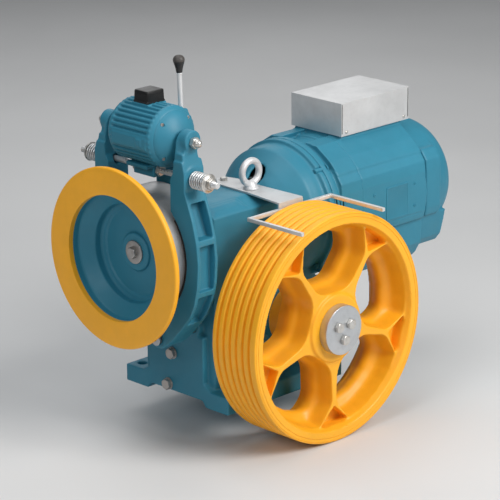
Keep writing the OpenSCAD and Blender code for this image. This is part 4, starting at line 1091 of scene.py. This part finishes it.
    # terminal block: tapered moulding on a lip, with a slightly sunk lid line
    zb, zt = tl[2], th_[2]
    rows = [(27.6, 24.6, zb + 0.1), (28.0, 25.0, zb + 0.6), (28.0, 25.0, zb + 3.2), (27.6, 24.6, zb + 3.8), (26.8, 23.8, zb + 4.4), (26.6, 23.6, zb + 5.6),
            (26.2, 23.2, zt - 9.6), (25.7, 22.7, zt - 9.2), (25.7, 22.7, zt - 8.6), (26.2, 23.2, zt - 8.2), (25.8, 22.8, zt - 2.4), (25.1, 22.1, zt - 0.9), (23.6, 20.6, zt - 0.2), (22.0, 19.0, zt)]
    V, F, k = [], [], 0
    for hx, hy, z in rows:
        o = fil([(-hx, -hy), (hx, -hy), (hx, hy), (-hx, hy)], 3.2, 6)
        k = len(o)
        V += [(cx + u, cy + v, z) for u, v in o]
    m = len(rows)
    F = [list(range(k))[::-1], [(m - 1) * k + i for i in range(k)]]
    F += [(i * k + j, i * k + (j + 1) % k, (i + 1) * k + (j + 1) % k, (i + 1) * k + j) for i in range(m - 1) for j in range(k)]
    tb = make("solenoid_terminal_cover", V, F)
    finish(tb, PLASTIC, BODY_OF["solenoid_terminal_block"], "black_plastic", "solenoid_terminal_block", angle=30.0)


solenoid()

# hand release lever: forged eye and round rod, moulded grip with a flat disc on its end
tilt = math.radians(2.0)
ld = np.array([0.0, math.sin(tilt), math.cos(tilt)])
piv = np.array([lvx, lvy, lvz])
p = Part()
p.lathe([(0, -12), (4, -12), (4, 17.2), (3.4, 18), (0, 18)], piv, (1, 0, 0), 32)
p.lathe(fil([(4, -7.4), (8.4, -7.4), (8.4, 7.4), (4, 7.4)], 0.8, 3), piv, (1, 0, 0), 48)
p.lathe([(0, 3), (6.2, 3), (6.0, 9), (5.9, 14), (5.8, 18), (5.8, 96), (0, 96)], piv, ld, 40)
p.lathe(fil([(0, 92.5), (6.9, 92.5), (6.9, 96), (0, 96)], [0, 0.8, 0.8, 0], 3), piv, ld, 40)
finish(p.done("release_lever_rod"), LEVER, BODY_OF["release_lever"], "lever_steel", "release_lever")
kt = [(0, 95), (6.4, 95), (7.2, 96.2), (7.7, 100), (8.6, 105.5), (10.0, 111), (11.6, 116), (12.8, 119.6), (13.2, 121.2), (13.2, 121.6), (12.9, 121.8), (0, 121.8)]
knob = lathe("release_lever_grip", kt, piv, ld, 72)
finish(knob, KNOB, BODY_OF["release_lever"], "black_plastic", "release_lever", angle=35.0)
dome = [(0, 121.9), (13.0, 121.9), (13.5, 122.6), (13.8, 124.4), (13.6, 127.0), (12.8, 129.8), (11.3, 132.4), (9.1, 134.6), (6.4, 136.1), (3.2, 136.85), (0, 137.0)]
disc = lathe("release_lever_cap", dome, piv, ld, 72)
finish(disc, KNOBTOP, BODY_OF["release_lever"], "black_plastic", "release_lever", angle=35.0)

# ------------------------------------------------------------------ brake hardware
rb = B("spring_rod")
rx, rz = (rb[0][0] + rb[1][0]) / 2, (rb[0][2] + rb[1][2]) / 2
p = Part()
p.lathe([(0, -152), (6.9, -152), (6.9, 152), (0, 152)], (rx, 0, rz), (0, 1, 0), 32)
for s in (-1, 1):
    p.add(thread_vf(7.9, 79.5, 2.0, 1.1, 28, 6), (rx, s * 150.5, rz), (0, s, 0))
p.add(thread_vf(7.6, 64, 2.0, 1.0, 24, 4), (rx, -32, rz), (0, 1, 0))
finish(p.done("spring_rod_threaded"), SPRING, BODY_OF["spring_rod"], "machined_steel", "spring_rod")
p = Part()
for s in (-1, 1):
    p.add(hex_vf(24, 9, washer=0.5), (rx, s * 35.3, rz), (0, s, 0), 12)
    p.add(hex_vf(24, 9, washer=0.5), (rx, s * 204.2, rz), (0, s, 0), 22)
finish(p.done("rod_lock_nuts"), ZINC, BODY_OF["rod_nuts"], "zinc_steel", "rod_nuts")
p = Part()
for s in (-1, 1):
    p.lathe(fil([(8.1, 0), (22.8, 0), (22.8, 2.4), (19.5, 3.0), (15.5, 5.8), (8.1, 5.8)], [0.2, 0.8, 0.6, 1.5, 1.2, 0.4], 3), (rx, s * 198.2, rz), (0, s, 0), 72)
finish(p.done("spring_seats"), ZINC, BODY_OF["spring_washers"], "zinc_steel", "spring_washers")
for side, s in (("right", -1), ("left", 1)):
    node = "brake_spring_" + side
    lo, hi = B(node)
    a, b = (hi[1], lo[1]) if s < 0 else (lo[1], hi[1])
    wr, R = 2.25, (hi[0] - lo[0]) / 2 - 2.25
    turns, L = 5.9, abs(b - a)
    m = 300
    u = np.linspace(0, 1, m)
    t = u * turns
    # closed and ground end turns, even pitch between them
    e = 0.6
    w = np.where(t < e, t * 2 * wr * 1.04, np.where(t > turns - e, 0, 0))
    mid0, mid1 = e * 2 * wr * 1.04, L - 2 * wr - e * 2 * wr * 1.04
    w = np.where((t >= e) & (t <= turns - e), mid0 + (t - e) / (turns - 2 * e) * (mid1 - mid0), w)
    w = np.where(t > turns - e, mid1 + (t - (turns - e)) * 2 * wr * 1.04, w)
    for _ in range(6):
        w[1:-1] = 0.5 * w[1:-1] + 0.25 * (w[:-2] + w[2:])
    ph = t * 2 * pi
    P = np.stack([rx + R * np.cos(ph), a + s * (wr + w), rz + R * np.sin(ph)], 1)
    rad = np.full(m, wr)
    rad[:14] = np.linspace(1.2, wr, 14)
    rad[-14:] = np.linspace(wr, 1.2, 14)
    V, F = tube_vf(P, rad, 14)
    V[:, 1] = np.clip(V[:, 1], min(a, b) + 0.05, max(a, b) - 0.05)
    ob = make("brake_coil_" + side, V, F)
    finish(ob, SPRING, BODY_OF[node], "zinc_sheet", node, angle=50.0)
    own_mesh(ob)

    # adjusting screw with its domed lock nut
    node = "adjuster_" + side
    lo, hi = B(node)
    p = Part()
    cx_, cz_ = (lo[0] + hi[0]) / 2, (lo[2] + hi[2]) / 2
    p.add(thread_vf(7.9, 33, 2.0, 1.1, 24, 4), (cx_, s * 117, cz_), (0, s, 0))
    p.add(hex_vf(24, 12.0, washer=0.6), (cx_, s * 146.1, cz_), (0, s, 0), 8)
    p.lathe([(0, 10.5), (10.6, 10.5), (10.9, 12.2), (10.5, 15.5), (9.4, 18.6), (7.6, 21.2), (5.2, 23.4), (2.6, 24.6), (0, 24.9)], (cx_, s * 146.1, cz_), (0, s, 0), 48)
    finish(p.done("adjusting_screw_" + side), ZINC, BODY_OF[node], "zinc_steel", node)

# pivot pins: turned bodies, a shoulder ring and a drilled head
pb = B("brake_pivot_pins")
pz = (pb[0][2] + pb[1][2]) / 2
py = (pb[1][1] - pb[0][1]) / 2 - 15
x0, x1 = pb
x0, x1 = x0[0], x1[0]
p = Part()
for s in (-1, 1):
    L = x1 - x0
    prof = [(0, 3.0), (3.2, 3.0), (3.6, 0.6), (4.4, 0), (13.8, 0), (15, 1.1), (15, 3.2), (14.4, 4.0), (12.4, 4.0), (12.4, 6.2), (11.2, 6.4), (11.2, 7.8), (12.4, 8.0), (12.4, L - 1.2), (11.2, L), (0, L)]
    p.lathe(prof, (x0, s * py, pz), (1, 0, 0), 64)
finish(p.done("pivot_pins_turned"), MACHINED, BODY_OF["brake_pivot_pins"], "machined_steel", "brake_pivot_pins", angle=35.0)

# ------------------------------------------------------------------ screws, plugs and bolts
p = Part()
for y, z, L in ((10, 112, 39.5), (26, 30, 33.5)):
    x = -212 + SX
    p.lathe(fil([(8.6, 0.1), (14.8, 0.1), (14.8, 2.8), (12.5, 3.2), (8.6, 3.2)], 0.5, 2), (x, y, z), (-1, 0, 0), 48)
    p.add(hex_vf(24, 9.6), (x - 3.0, y, z), (-1, 0, 0), 14)
    p.lathe([(0, 0.5), (8.7, 0.5), (8.7, -L + 1), (7.6, -L), (0, -L)], (x, y, z), (-1, 0, 0), 32)
finish(p.done("sump_plugs"), PLUG, BODY_OF["oil_plugs"], "plug_steel", "oil_plugs")

p = Part()
for a in range(30, 360, 60):
    cx_, cz_ = SX + 90 * math.cos(math.radians(a)), SZ - 90 * math.sin(math.radians(a))
    p.bolt(6, 40, (cx_, -135, cz_), (0, -1, 0), 7 + a)
    p.bolt(6, 40, (cx_, 135, cz_), (0, 1, 0), 19 + a)
for a in range(45, 360, 90):
    p.bolt(4, 28, (SX - 208, 58 * math.sin(math.radians(a)), ZD - 58 * math.cos(math.radians(a))), (-1, 0, 0), 11 + a)
p.bolt(5, 28, (SX - 4, 43, 491.6), (0, 0, 1), 17)
for y in (-29, 29):
    p.bolt(6, 32, (SX - 166, y, 499), (0, 0, 1), 9 + y)
finish(p.done("case_bolt_set"), ZINC, BODY_OF["case_bolts"], "zinc_steel", "case_bolts")

bx0 = B("motor_frame")[0][0]
fx = B("bell_housing")[0][0]
p = Part()
for a in range(45, 360, 90):
    c_, s_ = math.cos(math.radians(a)), math.sin(math.radians(a))
    rr_ = 167.0 if c_ < 0 else 172.0
    p.bolt(5 if c_ < 0 else 6, 36, (fx + 14.5, rr_ * s_, ZD - rr_ * c_), (1, 0, 0), 5 + a)
    p.bolt(5, 24, (bx0 - 14, 168 * s_, ZD - 168 * c_), (-1, 0, 0), 21 + a)
finish(p.done("motor_bolt_set"), TEAL, BODY_OF["motor_bolts"], "teal_paint", "motor_bolts")

# lifting eye, forged in one with its collar
eb = B("eye_bolt")
ex, ey = (eb[0][0] + eb[1][0]) / 2, (eb[0][1] + eb[1][1]) / 2
top = eb[1][2]
ez = top - 36.2
ph = np.linspace(0, 2 * pi, 96, endpoint=False)
ring_p = np.stack([ex + 28 * np.cos(ph), np.full(96, ey), ez + 28 * np.sin(ph)], 1)
rr = 8.15 + 0.5 * np.clip(-np.sin(ph), 0, 1) ** 2
rr = np.minimum(rr, 8.6)
tor = make("add", *tube_vf(ring_p, rr, 40, closed=True))
zb = ez - 41
base = lathe("add", [(0, 0), (18.4, 0), (19, 0.8), (19, 3.6), (17.6, 5.2), (14.6, 8.2), (12.6, 11.5), (11.2, 15), (9.8, 18), (0, 19)], (ex, ey, zb), n=96)
shank = lathe("add", [(0, -28), (8.8, -28), (9.9, -26.6), (9.9, 0.5), (0, 0.5)], (ex, ey, zb), n=48)
ob = join("lifting_eye", [tor, base, shank])
ob.name = "lifting_eye"
remesh(ob, 1.0)
relax(ob, 6, 0.5)
finish(ob, FORGED, BODY_OF["eye_bolt"], "zinc_steel", "eye_bolt", angle=60.0)

# filler cap with a fluted edge
fb = B("oil_filler_cap")
cx_, cy_ = (fb[0][0] + fb[1][0]) / 2, (fb[0][1] + fb[1][1]) / 2
zc0 = fb[1][2] - 15.5
N = 12 * 12
th = np.arange(N) * 2 * pi / N
flute = 0.5 + 0.5 * np.cos(th * 12)
rows = []
for z, r0, k in ((0.2, 17.6, 0.0), (0.2, 18.6, 0.3), (1.2, 19.2, 1.0), (10.6, 19.2, 1.0), (12.4, 18.4, 0.8), (14.2, 16.6, 0.3), (15.1, 14.0, 0.0), (15.5, 11.0, 0.0), (15.0, 10.0, 0.0), (15.0, 3.0, 0.0)):
    r = r0 - 1.5 * k * (1 - flute ** 0.7)
    rows.append(np.stack([r * np.cos(th), r * np.sin(th), np.full(N, z)], 1))
V = np.concatenate(rows + [np.array([[0, 0, 0.2], [0, 0, 15.0]])])
F = []
for i in range(len(rows) - 1):
    F += [(i * N + j, i * N + (j + 1) % N, (i + 1) * N + (j + 1) % N, (i + 1) * N + j) for j in range(N)]
m = len(rows)
F += [(m * N, (j + 1) % N, j) for j in range(N)] + [(m * N + 1, (m - 1) * N + j, (m - 1) * N + (j + 1) % N) for j in range(N)]
p = Part()
p.add((V, F), (cx_, cy_, zc0))
p.lathe([(0, -20), (11.2, -20), (12, -19), (12, 1), (0, 1)], (cx_, cy_, zc0), (0, 0, 1), 40)
finish(p.done("filler_cap_moulded"), PLASTIC, BODY_OF["oil_filler_cap"], "black_plastic", "oil_filler_cap", angle=30.0)

# ------------------------------------------------------------------ terminal box
tl, th_ = B("terminal_box_cover")
lid = copy_node("terminal_box_cover", "terminal_box_lid")
flatten(lid)
for sy in (-1, 1):
    y = tl[1] if sy < 0 else th_[1]
    for x in (tl[0] + 1.9, th_[0] - 4.1):
        boolean(lid, slab("cut", (x, min(y, y - sy * 1.8) - (0.2 if sy < 0 else 0), tl[2] + 6), (x + 2.2, max(y, y - sy * 1.8) + (0.2 if sy > 0 else 0), th_[2] - 3.0)), "DIFFERENCE")
bevel(lid, 0.9, 3, 35)
finish(lid, SHEET, BODY_OF["terminal_box_cover"], "zinc_sheet", "terminal_box_cover")
p = Part()
for sy in (-1, 1):
    y = tl[1] if sy < 0 else th_[1]
    for x in (tl[0] + 1.5, th_[0] - 3.7):
        ya, yb = sorted((y + sy * 0.12, y - sy * 1.75))
        za, zb_ = tl[2] + 6.2, th_[2] - 3.2
        V = np.array([(i, j, k) for k in (za, zb_) for i, j in ((x + 0.05, ya), (x + 2.15, ya), (x + 2.15, yb), (x + 0.05, yb))])
        F = [(3, 2, 1, 0), (4, 5, 6, 7), (0, 1, 5, 4), (1, 2, 6, 5), (2, 3, 7, 6), (3, 0, 4, 7)]
        p.add((V, F))
finish(p.done("lid_corner_seals"), RUBBER, BODY_OF["terminal_box_cover"], "black_rubber")
crisp("terminal_box", "terminal_box_base", SHEET, "zinc_sheet", 0.6, 2)
sc = B("box_screws")
p = Part()
for s in (-1, 1):
    for x in (tl[0] + 18, th_[0] - 18):
        y = tl[1] if s < 0 else th_[1]
        prof = [(0, 0.9), (0.9, 0.9), (0.9, 1.9), (2.6, 1.75), (3.8, 1.2), (4.4, 0.3), (4.4, 0.0), (1.9, 0.0), (1.9, -2.2), (0, -2.2)]
        p.lathe(prof, (x, y, tl[2] + 9), (0, s, 0), 36)
finish(p.done("lid_screws"), ZINC, BODY_OF["box_screws"], "zinc_steel", "box_screws")

# ------------------------------------------------------------------ bare rating plate and the small screws on the frame
fb0, fb1 = B("motor_frame")
ys = fb0[1] if abs(fb0[1]) < 190 else -166.0
yp = -166.0
plate_o = fil([(366, 354), (446, 354), (446, 438), (366, 438)], 3.0, 4)
ob = prism("rating_plate", plate_o, "y", yp - 1.1, yp + 1.0)
boolean(ob, prism("cut", fil([(370, 358), (442, 358), (442, 434), (370, 434)], 2.0, 3), "y", yp - 3.0, yp - 0.55), "DIFFERENCE")
bevel(ob, 0.25, 2, 35)
finish(ob, TEAL, "frame", "teal_paint")
p = Part()
for x in (368.0, 444.0):
    for z in (356.0, 436.0):
        p.lathe([(0, -1.0), (1.6, -1.0), (1.6, 0.0), (1.5, 0.5), (0.9, 0.9), (0, 1.0)], (x, yp - 0.9, z), (0, -1, 0), 20)
for x, y, z in ((323.0, yp, 428.0), (323.0, yp, 372.0), (470.0, yp, 428.0), (470.0, yp, 372.0)):
    p.lathe([(0, -2), (3.4, -2), (4.2, 0.0), (4.2, 1.2), (3.6, 1.9), (1.4, 2.0), (1.4, 1.0), (0, 1.0)], (x, y, z), (0, -1, 0), 28)
finish(p.done("plate_rivets"), TEAL, "frame", "teal_paint", angle=30.0)

# ------------------------------------------------------------------ covers and sheet metal from their own solids
crisp("sheave_side_cover", "sheave_side_bearing_cover", TEAL, "teal_paint", 1.6, 3)
crisp("rear_side_cover", "rear_bearing_cover", TEAL, "teal_paint", 1.6, 3)
crisp("worm_end_cover", "worm_bearing_cover", TEAL, "teal_paint", 1.0, 2)
crisp("guard_bracket", "guard_plate", SHEET, "zinc_sheet", 1.0, 3)
crisp("rope_guard", "rope_guard_bar", BAR, "zinc_sheet", 1.1, 3)
crisp("sheave_shaft", "sheave_shaft_turned", MACHINED, "machined_steel", 0.8, 2)
crisp("shaft_seals", "lip_seals", RUBBER, "black_rubber", 0.5, 2)
for s in ("right", "left"):
    crisp("lining_" + s, "brake_lining_" + s, LINING, "friction_lining", 0.5, 1)

# materials for every CAD node that stays in view, by the record's slot for it
slot_of = {row["node"]: row["material_slot"] for row in REC["subparts"]}
for n, o in NODES.items():
    if not o.hide_render:
        give(o, BY_SLOT[slot_of[n]])

lo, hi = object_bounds()
